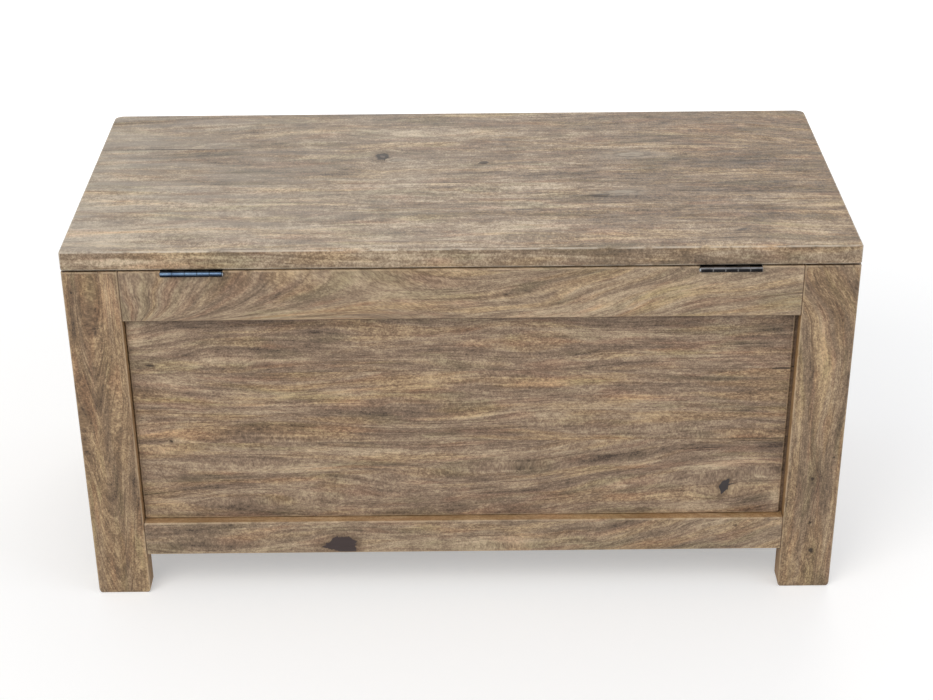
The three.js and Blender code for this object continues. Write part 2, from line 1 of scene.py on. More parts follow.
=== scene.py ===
"""Mule chest of stained hardwood: a lidded well over two drawers, seen from behind its hinges.

Lengths are millimetres in the frame's axes, and MM turns them to metres where a mesh is filled.
Every board is a section carried along its grain, with the grain's own course kept on its vertices.
"""
import json
import math
from functools import partial

import bmesh
import bpy
import numpy as np
from mathutils import Matrix, Vector

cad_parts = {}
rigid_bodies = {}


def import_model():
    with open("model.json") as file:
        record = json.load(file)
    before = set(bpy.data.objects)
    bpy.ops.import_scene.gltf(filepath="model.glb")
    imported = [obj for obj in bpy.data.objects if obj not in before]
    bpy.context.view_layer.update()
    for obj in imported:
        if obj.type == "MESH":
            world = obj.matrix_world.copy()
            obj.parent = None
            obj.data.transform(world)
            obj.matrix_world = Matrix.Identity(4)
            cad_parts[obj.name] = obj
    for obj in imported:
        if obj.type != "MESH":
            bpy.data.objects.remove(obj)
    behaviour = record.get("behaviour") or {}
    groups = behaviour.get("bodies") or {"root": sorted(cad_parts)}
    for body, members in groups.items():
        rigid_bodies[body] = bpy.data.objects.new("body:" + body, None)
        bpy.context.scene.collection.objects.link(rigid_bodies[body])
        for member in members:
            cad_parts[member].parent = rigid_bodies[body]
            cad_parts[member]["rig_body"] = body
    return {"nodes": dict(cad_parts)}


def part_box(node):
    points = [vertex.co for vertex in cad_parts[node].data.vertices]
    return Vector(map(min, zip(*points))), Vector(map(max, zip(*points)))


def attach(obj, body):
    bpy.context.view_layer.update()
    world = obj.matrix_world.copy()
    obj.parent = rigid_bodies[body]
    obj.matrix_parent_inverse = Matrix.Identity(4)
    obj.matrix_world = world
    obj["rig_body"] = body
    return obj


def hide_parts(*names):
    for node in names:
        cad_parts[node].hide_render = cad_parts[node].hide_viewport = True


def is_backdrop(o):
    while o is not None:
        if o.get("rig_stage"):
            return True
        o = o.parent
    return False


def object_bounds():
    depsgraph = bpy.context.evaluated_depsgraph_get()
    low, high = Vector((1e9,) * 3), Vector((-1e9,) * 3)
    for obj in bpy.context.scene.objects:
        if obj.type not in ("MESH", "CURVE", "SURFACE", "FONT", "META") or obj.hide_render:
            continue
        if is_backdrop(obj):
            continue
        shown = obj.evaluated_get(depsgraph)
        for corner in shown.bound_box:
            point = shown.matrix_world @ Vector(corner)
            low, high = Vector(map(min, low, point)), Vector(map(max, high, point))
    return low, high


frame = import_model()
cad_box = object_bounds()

MM = 0.001

# Camera, fitted to corners of the chest in the photograph
EYE = (1.4, 2288.55, 1488.7)
LOOK_DOWN = math.radians(28.629)
LOOK_ASIDE = math.radians(-0.1932)
ROLL = math.radians(-0.4424)
FOCAL_PIXELS = 1872.0
IMAGE_WIDTH = 933
SENSOR_WIDTH = 36.0

# Joinery
TENON_THICKNESS = 10.0
TENON_SHOULDER = 12.0
STILE_TENON = 28.0
POST_TENON = 18.0
DIVIDER_TENON = 12.0
DIVIDER_SHOULDER = 7.0
GROOVE_DEPTH = 10.0
TONGUE_THICKNESS = 6.0
TONGUE_LENGTH = 8.0
PANEL_RECESS = 12.0
PANEL_THICKNESS = 14.0
PANEL_GAP = 1.0
BACK_SHRINKAGE = 4.5
REBATE_DEPTH = 4.0
PLAY = 0.3
GLUE_PLAY = 0.1

# Eased edges
GLUED_EASE = 0.25
BOTTOM_EASE = 0.3
SEAM_EASE = 0.45
SMALL_EASE = 0.6
FIELD_EASE = 1.1
FRAME_EASE = 1.3
DRAWER_EASE = 1.6
SILL_EASE = 2.2
CORNER_EASE = 2.5
LID_EASE = 2.5
BATTEN_EASE = 3.0
FOOT_EASE = 6.0
FOOT_FACE_SHARE = 0.3
LID_FRONT_CORNER = 13.0
LID_BACK_CORNER = 3.0

# Mesh spacing: fine on the outside, coarser where only a raised lid or a pulled drawer shows it
FINE = 5.0
COARSE = 9.0
ARC_STEPS = 3
LID_ARC_POINTS = 7
GLUE_LINE = 0.03
WELD = 0.002
SHARP_ANGLE = math.radians(38)
FACETS = 48
AROUND = np.linspace(0, 2 * math.pi, FACETS, endpoint=False)

# Places of the colour sockets on a mix node
MIX_FACTOR, MIX_A, MIX_B, MIX_RESULT = 0, 6, 7, 2

# The chest's sides, and which way each lies from its middle
SIDES = (("left", -1), ("right", 1))


def make_camera():
    """The camera of the photograph: where it stands, how far it looks down, and its small roll."""
    ahead = Vector((
        math.sin(LOOK_ASIDE) * math.cos(LOOK_DOWN),
        -math.cos(LOOK_ASIDE) * math.cos(LOOK_DOWN),
        -math.sin(LOOK_DOWN),
    ))
    level = ahead.cross(Vector((0, 0, 1))).normalized()
    plumb = level.cross(ahead)
    right = math.cos(ROLL) * level + math.sin(ROLL) * plumb
    up = math.cos(ROLL) * plumb - math.sin(ROLL) * level
    camera = bpy.data.objects.new("camera", bpy.data.cameras.new("camera"))
    camera.data.sensor_width = SENSOR_WIDTH
    camera.data.lens = FOCAL_PIXELS / IMAGE_WIDTH * SENSOR_WIDTH
    turn = Matrix((right, up, -ahead)).transposed().to_4x4()
    camera.matrix_world = Matrix.Translation(Vector(EYE) * MM) @ turn
    bpy.context.scene.collection.objects.link(camera)
    bpy.context.scene.camera = camera


def linear(code):
    """The linear colour of an sRGB hex value."""
    parts = np.array([int(code[i:i + 2], 16) for i in (1, 3, 5)]) / 255
    straight = np.where(parts <= 0.04045, parts / 12.92, ((parts + 0.055) / 1.055) ** 2.4)
    return (*straight.tolist(), 1.0)


def set_inputs(tree, node, inputs):
    """Links a node's inputs to the outputs given for them, or sets them to plain values."""
    for key, value in inputs.items():
        if isinstance(value, bpy.types.NodeSocket):
            tree.links.new(value, node.inputs[key])
        else:
            node.inputs[key].default_value = value


def add_node(tree, kind, inputs=None, out=0, **settings):
    """A shader node with its settings and its inputs: its output out, or all of them for None."""
    node = tree.nodes.new("ShaderNode" + kind)
    for name, value in settings.items():
        setattr(node, name, value)
    set_inputs(tree, node, inputs or {})
    return node.outputs if out is None else node.outputs[out]


def new_material(name):
    """An empty node material, with its node tree and its surface shader."""
    material = bpy.data.materials.new(name)
    material.use_nodes = True
    return material, material.node_tree, material.node_tree.nodes["Principled BSDF"]


def pattern(tree, source, lengths, reach, shift=0.0, detail=2.0):
    """0 to 1 where noise with grains of these lengths in mm rises through reach."""
    placed = add_node(tree, "Mapping", {
        "Vector": source, "Location": (shift, shift / 2, -shift), "Scale": [1 / x for x in lengths],
    })
    noise = add_node(tree, "TexNoise", {
        "Vector": placed, "Scale": 1.0, "Detail": detail, "Roughness": 0.55,
    }, "Fac")
    return add_node(tree, "MapRange", {
        "Value": noise, "From Min": reach[0], "From Max": reach[1],
    }, interpolation_type="SMOOTHSTEP")


def blend(tree, below, above, share, strength=1.0, mode="MIX"):
    """Colour above laid over colour below where share is 1, no more than strength."""
    weight = add_node(tree, "Math", {0: share, 1: strength}, operation="MULTIPLY", use_clamp=True)
    return add_node(
        tree, "Mix", {MIX_FACTOR: weight, MIX_A: below, MIX_B: above}, MIX_RESULT,
        data_type="RGBA", blend_type=mode,
    )


# Kinds of knot, as the third number of the knot attribute; 0 is clear wood
SOUND, FILLED, HOOKED, RINGED, BURL, CRACK = 1.0, 2.0, 3.0, 4.0, 5.0, 6.0
KIND_MARGIN = 0.3
# What lies on each kind, from outside in: where it starts and is full, its colour and strength
HALO = (3.1, 1.0, "#57452f", 0.4)
KNOT_LAYERS = {
    SOUND: [HALO, (1.4, 0.9, "#35281f", 0.9)],
    FILLED: [(1.9, 1.05, "#5f4c39", 0.55), (1.12, 1.02, "#3f3331", 1.0)],
    HOOKED: [(2.2, 1.05, "#5f4c39", 0.5), (1.12, 1.02, "#3a3434", 1.0)],
    RINGED: [HALO, (1.4, 1.0, "#2c241f", 0.95), (0.62, 0.35, "#6e6056", 0.75)],
    BURL: [(2.4, 0.9, "#b3a694", 0.35), (1.25, 1.05, "#5e5144", 0.6), (0.95, 0.75, "#aa9c89", 0.6),
           (0.5, 0.35, "#75685a", 0.5)],
    CRACK: [(1.7, 0.7, "#2c231c", 0.85)],
}
# Outlines of the filled knots: convex shapes, each as the lines whose sum with the place reaches 1
FILLED_OUTLINES = {
    FILLED: [[(0.0, 1.0), (1.1, 0.63), (0.73, -0.95), (0.0, -1.02), (-1.12, -0.11), (-0.82, 0.67)]],
    HOOKED: [
        [(1.46, 0.48), (0.13, 1.21), (-0.77, 0.88), (-1.37, -1.32), (0.25, -1.13)],
        [(-4.6, 3.08), (3.24, -3.79), (5.0, 5.0)],
    ],
}
FAR_OUTSIDE = 9.0
RAGGED_FILLING = 0.2
RAGGED_KNOT = 0.3
# Patches along the fibres: the lengths of their grains, their reach, their shift and their detail
PATCHES = {
    "golden clusters": ((150, 18, 26), (0.42, 0.66), 41.0),
    "olive": ((110, 20, 24), (0.5, 0.68), 53.0),
    "rosy": ((90, 14, 20), (0.5, 0.7), 67.0),
    "haze": ((150, 22, 30), (0.2, 0.66), 31.0),
    "rubbed": ((20, 5, 5), (0.3, 0.56), 17.0),
    "dull": ((30, 3, 3), (0.3, 0.7), 23.0),
    "ragged": ((5, 3, 3), (0.3, 0.7), 7.0, 3.0),
}
# The numbers that two of a board's attributes carry
CHANNELS = {"wear": ("edge", "top", "tone"), "stain": ("recess", "end grain", "warmth")}
# The warmth at which wood starts to be golden, and at which it is fully golden
GOLDEN_START, GOLDEN_FULL = 0.2, 1.1
# How much painted shade and dark joint lines darken the wood, and how much end grain darkens it
RECESS_SHADE = -0.2
END_GRAIN_SHADE = -0.28
# An edge is pale with wear and a painted highlight up to the first distance in mm and has its own shade
# beyond the second
PALE_EDGE_FULL, PALE_EDGE_END = 0.7, 2.4


def filled_shape(tree, flat, outlines, ragged):
    """Below 1 inside the nearest of some convex outlines: each is the most of its lines' sums."""
    nearest = FAR_OUTSIDE
    for lines in outlines:
        most = -FAR_OUTSIDE
        for line in lines:
            reach = add_node(tree, "VectorMath", {0: flat, 1: (*line, 0)}, "Value", operation="DOT_PRODUCT")
            most = add_node(tree, "Math", {0: most, 1: reach}, operation="MAXIMUM")
        nearest = add_node(tree, "Math", {0: nearest, 1: most}, operation="MINIMUM")
    return add_node(tree, "Math", {0: ragged, 1: RAGGED_FILLING, 2: nearest}, operation="MULTIPLY_ADD")


def lay_knots(tree, colour, grain):
    """Knots over a wood colour: dark hearts, filled holes, rings, pale burls and open cracks."""
    knot = add_node(tree, "Attribute", out="Vector", attribute_name="knot")
    along, across, kind_here = add_node(tree, "SeparateXYZ", {"Vector": knot}, None)
    flat = add_node(tree, "CombineXYZ", {"X": along, "Y": across})
    away = add_node(tree, "VectorMath", {0: flat}, "Value", operation="LENGTH")
    ragged = pattern(tree, grain, *PATCHES["ragged"])
    reach = add_node(tree, "Math", {0: ragged, 1: RAGGED_KNOT, 2: away}, operation="MULTIPLY_ADD")
    for kind, layers in KNOT_LAYERS.items():
        mine = add_node(tree, "Math", {0: kind_here, 1: kind, 2: KIND_MARGIN}, operation="COMPARE")
        outlines = FILLED_OUTLINES.get(kind)
        measure = filled_shape(tree, flat, outlines, ragged) if outlines else reach
        for start, full, code, strength in layers:
            shape = add_node(tree, "MapRange", {
                "Value": measure, "From Min": start, "From Max": full,
            }, interpolation_type="SMOOTHSTEP")
            share = add_node(tree, "Math", {0: shape, 1: mine}, operation="MULTIPLY")
            colour = blend(tree, colour, linear(code), share, strength)
    return colour


def piled(tree, sources, start, rows):
    """A start value with patterns added to it: rows of height, source, lengths, reach and shift."""
    total = start
    for height, source, *shape in rows:
        share = pattern(tree, sources[source], *shape)
        total = add_node(tree, "Math", {0: share, 1: height, 2: total}, operation="MULTIPLY_ADD")
    return total


def wood_sources(tree):
    """The coordinates of a board's wood and the numbers on its vertices, by name."""
    sources = {
        key: add_node(tree, "Attribute", out="Vector", attribute_name=key)
        for key in ("grain", "growth", *CHANNELS)
    }
    for key, names in CHANNELS.items():
        sources.update(zip(names, add_node(tree, "SeparateXYZ", {"Vector": sources[key]}, None)))
    sources["deep"] = add_node(tree, "Math", {0: sources["recess"], 1: 0.0}, operation="MAXIMUM")
    sources["clusters"] = pattern(tree, sources["grain"], *PATCHES["golden clusters"])
    return sources


def shaded(tree, sources, shades, marks, flecks):
    """A colour from dark through middle to light, by the sum of the marks and the board's own tone."""
    centre = 0.5 - sum(row[0] for row in marks) / 2 - FLECK_CENTRE * sum(row[0] for row in flecks)
    level = piled(tree, sources, centre, marks)
    # The deep share is painted shade in rebates and under a top rail's edge, and dark joint lines
    for share, height in (
        (sources["clusters"], piled(tree, sources, 0.0, flecks)), (sources["tone"], 1.0),
        (sources["deep"], RECESS_SHADE), (sources["end grain"], END_GRAIN_SHADE),
    ):
        level = add_node(tree, "Math", {0: share, 1: height, 2: level}, operation="MULTIPLY_ADD")
    dark, colour, light = (linear(code) for code in shades)
    for shade, end in ((light, 1.0), (dark, 0.0)):
        share = add_node(tree, "MapRange", {"Value": level, "From Min": 0.5, "From Max": end})
        colour = blend(tree, colour, shade, share)
    return colour


def tinted(tree, sources, colour, painted_sheen):
    """Golden, olive and rosy patches, pale ledges, dark joint lines and painted shade in rebates and
    under a top rail's edge, and a top's painted sheen over a colour.
    """
    warm = {0: sources["warmth"], 1: 0.5, 2: sources["clusters"]}
    warm = add_node(tree, "Math", warm, operation="MULTIPLY_ADD")
    golden = add_node(tree, "MapRange", {
        "Value": warm, "From Min": GOLDEN_START, "From Max": GOLDEN_FULL,
    })
    ledge = add_node(tree, "Math", {0: sources["recess"], 1: -1.0}, operation="MULTIPLY", use_clamp=True)
    olive, rosy = (pattern(tree, sources["grain"], *PATCHES[key]) for key in ("olive", "rosy"))
    tints = [
        ("#fff3dc", golden, 0.7, "MULTIPLY"), ("#e6ece2", olive, 0.7, "MULTIPLY"),
        ("#fff2ee", rosy, 0.8, "MULTIPLY"), ("#b0854f", ledge, 0.42, "MIX"),
        # Painted shade in rebates and under a top rail's edge, and dark joint lines at a rail's ends
        ("#6b5642", sources["deep"], 0.8, "MIX"),
    ]
    # Painted sheen: the top is drawn paler and greyer where the sky's reflection lies on it, its edges
    # browner
    if painted_sheen:
        code, strength = painted_sheen
        uneven = pattern(tree, sources["grain"], *PATCHES["haze"])
        sheen_share, browned = (
            add_node(tree, "Math", {0: sources["top"], 1: share}, operation="MULTIPLY", use_clamp=True)
            for share in (uneven, -1.0)
        )
        tints += [(code, sheen_share, strength, "MIX"), ("#ebdfcb", browned, 1.0, "MULTIPLY")]
    for code, share, strength, mode in tints:
        colour = blend(tree, colour, linear(code), share, strength, mode)
    return colour


def make_wood(name, shades, marks, flecks, roughness, arris, painted_sheen=None):
    """Hardwood with its figure, tints, knots and pores, pale at its edges with wear and a painted
    highlight.

    Shades are dark, middle and light. Arris is the colour and strength of that pale edge; the last
    argument gives those of a top's painted sheen, a pale grey that stands for the sky's reflection.
    """
    material, tree, surface = new_material(name)
    sources = wood_sources(tree)
    colour = shaded(tree, sources, shades, marks, flecks)
    colour = tinted(tree, sources, colour, painted_sheen)
    colour = lay_knots(tree, colour, sources["grain"])
    uneven, dull = (pattern(tree, sources["grain"], *PATCHES[key]) for key in ("rubbed", "dull"))
    # Edges pale with wear and a painted highlight, fading over their first millimetres
    near = add_node(tree, "MapRange", {
        "Value": sources["edge"], "From Min": PALE_EDGE_END, "From Max": PALE_EDGE_FULL,
    })
    rubbed = add_node(tree, "Math", {0: near, 1: uneven}, operation="MULTIPLY")
    height = piled(tree, sources, 0.0, BUMPS)
    set_inputs(tree, surface, {
        "Base Color": blend(tree, colour, linear(arris[0]), rubbed, arris[1]),
        "Roughness": add_node(
            tree, "MapRange", {"Value": dull, "To Min": roughness[0], "To Max": roughness[1]},
        ),
        "Normal": add_node(tree, "Bump", {"Height": height, "Strength": 1.0, "Distance": MM}),
        "IOR": 1.45,
    })
    return material


# Rows of marks, flecks and bumps: height, the coordinates that they follow, the lengths of their
# grains in mm along, across and through, the reach of the noise and its shift. Growth coordinates
# follow the year rings, grain coordinates the fibres.
# Open pores, fibres and year rings, as heights in mm
BUMPS = [
    (-0.10, "grain", (9, 0.9, 0.9), (0.56, 0.68), 3.0),
    (0.05, "grain", (40, 1.6, 1.6), (0.3, 0.7), 11.0),
    (0.07, "growth", (300, 3.0, 50), (0.35, 0.65), 5.0),
]
# Figure of the outer wood: bands and lines of the year rings, then streaks, fibres and specks. Two
# rows with one shift and opposite heights draw a thin line where the noise passes their meeting
# point. The finest real pores are half a millimetre, and are drawn as coarse as they show.
OUTER_MARKS = [
    (0.14, "growth", (420, 24, 60), (0.3, 0.7), 2.0),
    (0.07, "growth", (320, 8, 60), (0.3, 0.7), 19.0),
    (0.09, "growth", (200, 4.0, 40), (0.32, 0.68), 4.0),
    (0.08, "growth", (260, 5, 40), (0.6, 0.7), 33.0),
    (-0.12, "growth", (320, 5, 40), (0.6, 0.7), 29.0),
    (0.12, "growth", (400, 14, 80), (0.46, 0.5), 51.0),
    (-0.12, "growth", (400, 14, 80), (0.5, 0.54), 51.0),
    (-0.14, "growth", (360, 11, 70), (0.46, 0.5), 61.0),
    (0.14, "growth", (360, 11, 70), (0.5, 0.54), 61.0),
    (0.18, "grain", (80, 20, 26), (0.3, 0.7), 13.0),
    (0.17, "grain", (22, 8, 10), (0.3, 0.7), 6.0),
    (0.16, "grain", (7, 3.6, 3.6), (0.3, 0.7), 8.0),
    (0.21, "grain", (3.2, 2.0, 2.0), (0.3, 0.7), 9.0),
    (0.22, "grain", (1.8, 1.4, 1.4), (0.3, 0.7), 37.0),
]
# Flecks show in the golden clusters only
FLECKS = [
    (0.20, "grain", (4.5, 1.8, 1.8), (0.42, 0.7), 15.0),
    (0.13, "grain", (10, 2.8, 2.8), (0.42, 0.7), 21.0),
]
FLECK_CENTRE = 0.16
LID_BREADTH = 1.5
LID_MARKS = [
    (height, source, (along, across * LID_BREADTH, through * LID_BREADTH), *rest)
    for height, source, (along, across, through), *rest in OUTER_MARKS
]
LID_MARKS.append((0.09, "grain", (260, 50, 60), (0.34, 0.66), 71.0))
# Bare wood shows its figure and its flecks at these shares
INSIDE_MARKS = [(height * 0.55, *rest) for height, *rest in OUTER_MARKS]
INSIDE_FLECKS = [(height * 0.3, *rest) for height, *rest in FLECKS]
# Colours and strengths of edges that are pale with wear and a painted highlight
FRAME_ARRIS = ("#d0b796", 0.6)
LID_ARRIS = ("#dccfbd", 0.85)

# The finishes of the wooden pieces, by the record's slots
woods = {
    # Taupe stained hardwood, planed and waxed; its top carries a pale grey painted sheen
    "lid_wood": make_wood(
        "taupe_stained_lid_hardwood", ("#483c31", "#917d68", "#dcc9ae"), LID_MARKS, FLECKS,
        (0.5, 0.66), LID_ARRIS, ("#b0a99e", 0.55),
    ),
    # Brown stained hardwood of the frame, planed and waxed
    "frame_wood": make_wood(
        "brown_stained_frame_hardwood", ("#4a3c31", "#917b65", "#d4bd9d"), OUTER_MARKS, FLECKS,
        (0.48, 0.64), FRAME_ARRIS,
    ),
    # Brown stained hardwood of the panels, a little darker and duller than the frame
    "panel_wood": make_wood(
        "brown_stained_panel_hardwood", ("#483a2f", "#927b66", "#d5be9e"), OUTER_MARKS, FLECKS,
        (0.48, 0.66), FRAME_ARRIS,
    ),
    # Sawn and sanded hardwood without stain, inside the chest
    "inside_wood": make_wood(
        "bare_inside_hardwood", ("#8a6f50", "#b8a07c", "#dcc9a4"), INSIDE_MARKS, INSIDE_FLECKS,
        (0.65, 0.85), FRAME_ARRIS,
    ),
    # Rotary cut birch plywood, unfinished
    "plywood": make_wood(
        "birch_plywood", ("#a88a60", "#cdb48b", "#e6d4b0"), INSIDE_MARKS, INSIDE_FLECKS,
        (0.7, 0.85), FRAME_ARRIS,
    ),
}


# Sections: rows of numbers that say what a board is like at one place along its grain
EASE_ALL = (1.0, 1.0, 1.0, 1.0)
NO_CUT = (0.0, 0.0, 0.0)


def section(a, c, e, ease, low=NO_CUT, high=NO_CUT, drop=0.0):
    """One row: the place a along the grain, the reach c across and e through the board, its four
    eased corners, and a groove (or, below zero, a tongue) in its low and high edge, each as its two
    places through the board and its depth. Drop lowers the high edge's outer corner to a mortise."""
    return np.array([a, *c, *e, *ease, *low, *high, drop], float)


def inset(row, by, faces=EASE_ALL):
    """The same row drawn in by a distance; faces weighs its low and high c and its low and high e."""
    drawn = row.copy()
    drawn[1:5] += by * np.array([faces[0], -faces[1], faces[2], -faces[3]])
    drawn[5:9] = np.maximum(row[5:9] - by, 0)
    return drawn


def closing(last, depth, count):
    """Rows that close an end on its middle line: the last row drawn in by more and more."""
    return [inset(last, depth * (k + 1) / count) for k in range(count)]


def closed_end(row, way, ease, spacing, faces=EASE_ALL):
    """Rows that round off a board's end by a quarter circle and close it on its middle line.

    Way is 1 for the end at the row's higher side. The rows run from the board to the middle line.
    """
    rows = []
    for angle in np.linspace(0, math.pi / 2, ARC_STEPS + 1):
        rounded = inset(row, ease * (1 - math.cos(angle)), faces)
        rounded[0] = row[0] - way * ease * (1 - math.sin(angle))
        rows.append(rounded)
    last = rows[-1]
    last[9:16] = 0
    depth = min(last[2] - last[1], last[4] - last[3]) / 2
    return rows + closing(last, depth, max(2, int(depth / spacing) + 1))


def capped(first, rows, last, ease, spacing):
    """Rows with an eased and closed end before them and another behind."""
    return closed_end(first, -1, ease, spacing)[::-1] + rows + closed_end(last, 1, ease, spacing)


def tongued(thin, body, drawn_in, reach, field, ease, tip, middle=()):
    """Rows of a board whose body stands on its field, and whose thin ends go on to its reach.

    The shoulders between them are drawn in and eased, the thin ends' tips eased by tip.
    """
    start, end = field
    rows = [thin(start), drawn_in(start), body(start + ease), *middle]
    rows += [body(end - ease), drawn_in(end), thin(end)]
    return capped(thin(reach[0]), rows, thin(reach[1]), tip, COARSE)


def refined(rows, spacing):
    """The rows with more of them worked out in between, so that none lie further than spacing apart."""
    rows = np.array(rows)
    steps = np.maximum(1, np.ceil(np.abs(np.diff(rows[:, 0])) / spacing)).astype(int)
    places = np.concatenate([i + np.arange(n) / n for i, n in enumerate(steps)] + [[len(rows) - 1]])
    whole = np.arange(len(rows))
    return np.stack([np.interp(places, whole, column) for column in rows.T], axis=1)


def ring_points(rows, across, through):
    """The closed outline of every row at once, as places along, across and through the board.

    Each corner is a quarter circle about a centre drawn in by its ease; between the corners the
    points lie at the shares across and through of the straight stretch, and each edge has its cut.
    """
    a, c0, c1, e0, e1, r00, r01, r11, r10 = (rows[:, i:i + 1] for i in range(9))
    low, high = ([rows[:, i:i + 1] for i in range(start, start + 3)] for start in (9, 12))
    top = c1 - rows[:, 15:16]
    arc = np.linspace(0, math.pi / 2, ARC_STEPS + 1)[None, :]

    def corner(c, e, r, side_c, side_e, towards_c):
        """Quarter circle at one corner, from the edge to the face or back."""
        angle = arc if towards_c else math.pi / 2 - arc
        return c - side_c * r + side_c * r * np.sin(angle), e - side_e * r + side_e * r * np.cos(angle)

    def face(start, end, e, shares):
        """The straight stretch of a broad face from start to end."""
        places = start + (end - start) * shares
        return places, np.broadcast_to(e, places.shape)

    def edge(c, start, end, cut, side, from_c):
        """The straight edge from start to end with its groove or tongue."""
        lowest, highest = np.minimum(start, end), np.maximum(start, end)
        first, last = (np.clip(place, lowest, highest) for place in cut[:2])
        if side > 0:
            first, last = last, first
        bottom = c - side * cut[2]
        run = start + (first - start) * through
        rest = last + (end - last) * through
        before, behind = (np.broadcast_to(*pair) for pair in ((from_c, run.shape), (c, rest.shape)))
        edge_c = np.hstack([before, from_c, bottom, bottom, c, behind])
        return edge_c, np.hstack([run, first, first, last, last, rest])

    pieces = [
        corner(c0, e1, r01, -1, 1, False),
        face(c0 + r01, top - r11, e1, across),
        corner(top, e1, r11, 1, 1, True),
        edge(c1, e1 - r11, e0 + r10, high, 1, top),
        corner(c1, e0, r10, 1, -1, False),
        face(c1 - r10, c0 + r00, e0, 1 - across[::-1]),
        corner(c0, e0, r00, -1, -1, True),
        edge(c0, e0 + r00, e1 - r01, low, -1, c0),
    ]
    ring_c, ring_e = (np.hstack(parts) for parts in zip(*pieces))
    return np.stack([np.broadcast_to(a, ring_c.shape), ring_c, ring_e], axis=-1)


def tube_triangles(rows, around):
    """Triangles between neighbouring rings, each ring closed on itself."""
    i, j = np.meshgrid(np.arange(rows - 1), np.arange(around), indexing="ij")
    here, beside = i * around + j, i * around + (j + 1) % around
    quads = np.stack([here, beside, beside + around, here + around], axis=-1).reshape(-1, 4)
    return np.concatenate([quads[:, [0, 1, 2]], quads[:, [0, 2, 3]]])


def welded(rings):
    """The points and triangles of a tube of rings.

    Points that fall together become one, and triangles that have shrunk to a line are dropped.
    """
    points = rings.reshape(-1, 3)
    _, first, place = np.unique(
        np.round(points / WELD).astype(np.int64), axis=0, return_index=True, return_inverse=True,
    )
    triangles = place.reshape(-1)[tube_triangles(*rings.shape[:2])]
    whole = (triangles != np.roll(triangles, 1, axis=1)).all(axis=1)
    return points[first], triangles[whole]


def outward(points, triangles):
    """The triangles turned so that the solid that they close has a volume above zero."""
    corners = points[triangles]
    volume = np.einsum("ij,ij->i", corners[:, 0], np.cross(corners[:, 1], corners[:, 2])).sum()
    return triangles if volume > 0 else triangles[:, ::-1]


def fill_mesh(name, points, triangles, attributes=None):
    """A mesh object from points in mm and triangles, with vector attributes on its points."""
    triangles = outward(points, triangles)
    mesh = bpy.data.meshes.new(name)
    mesh.vertices.add(len(points))
    mesh.vertices.foreach_set("co", (points * MM).astype(np.float32).ravel())
    mesh.loops.add(triangles.size)
    mesh.loops.foreach_set("vertex_index", triangles.astype(np.int32).ravel())
    mesh.polygons.add(len(triangles))
    mesh.polygons.foreach_set("loop_start", np.arange(0, triangles.size, 3, dtype=np.int32))
    mesh.update(calc_edges=True)
    mesh.validate()
    mesh.polygons.foreach_set("use_smooth", np.ones(len(mesh.polygons), bool))
    mesh.set_sharp_from_angle(angle=SHARP_ANGLE)
    for key, values in (attributes or {}).items():
        layer = mesh.attributes.new(key, "FLOAT_VECTOR", "POINT")
        layer.data.foreach_set("vector", values.astype(np.float32).ravel())
    piece = bpy.data.objects.new(name, mesh)
    bpy.context.scene.collection.objects.link(piece)
    return piece


def finish_piece(piece, body, material, nodes=()):
    """Gives a piece its material and its body, and hides the CAD nodes that it stands for."""
    piece.data.materials.clear()
    piece.data.materials.append(material)
    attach(piece, body)
    if nodes:
        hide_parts(*nodes)


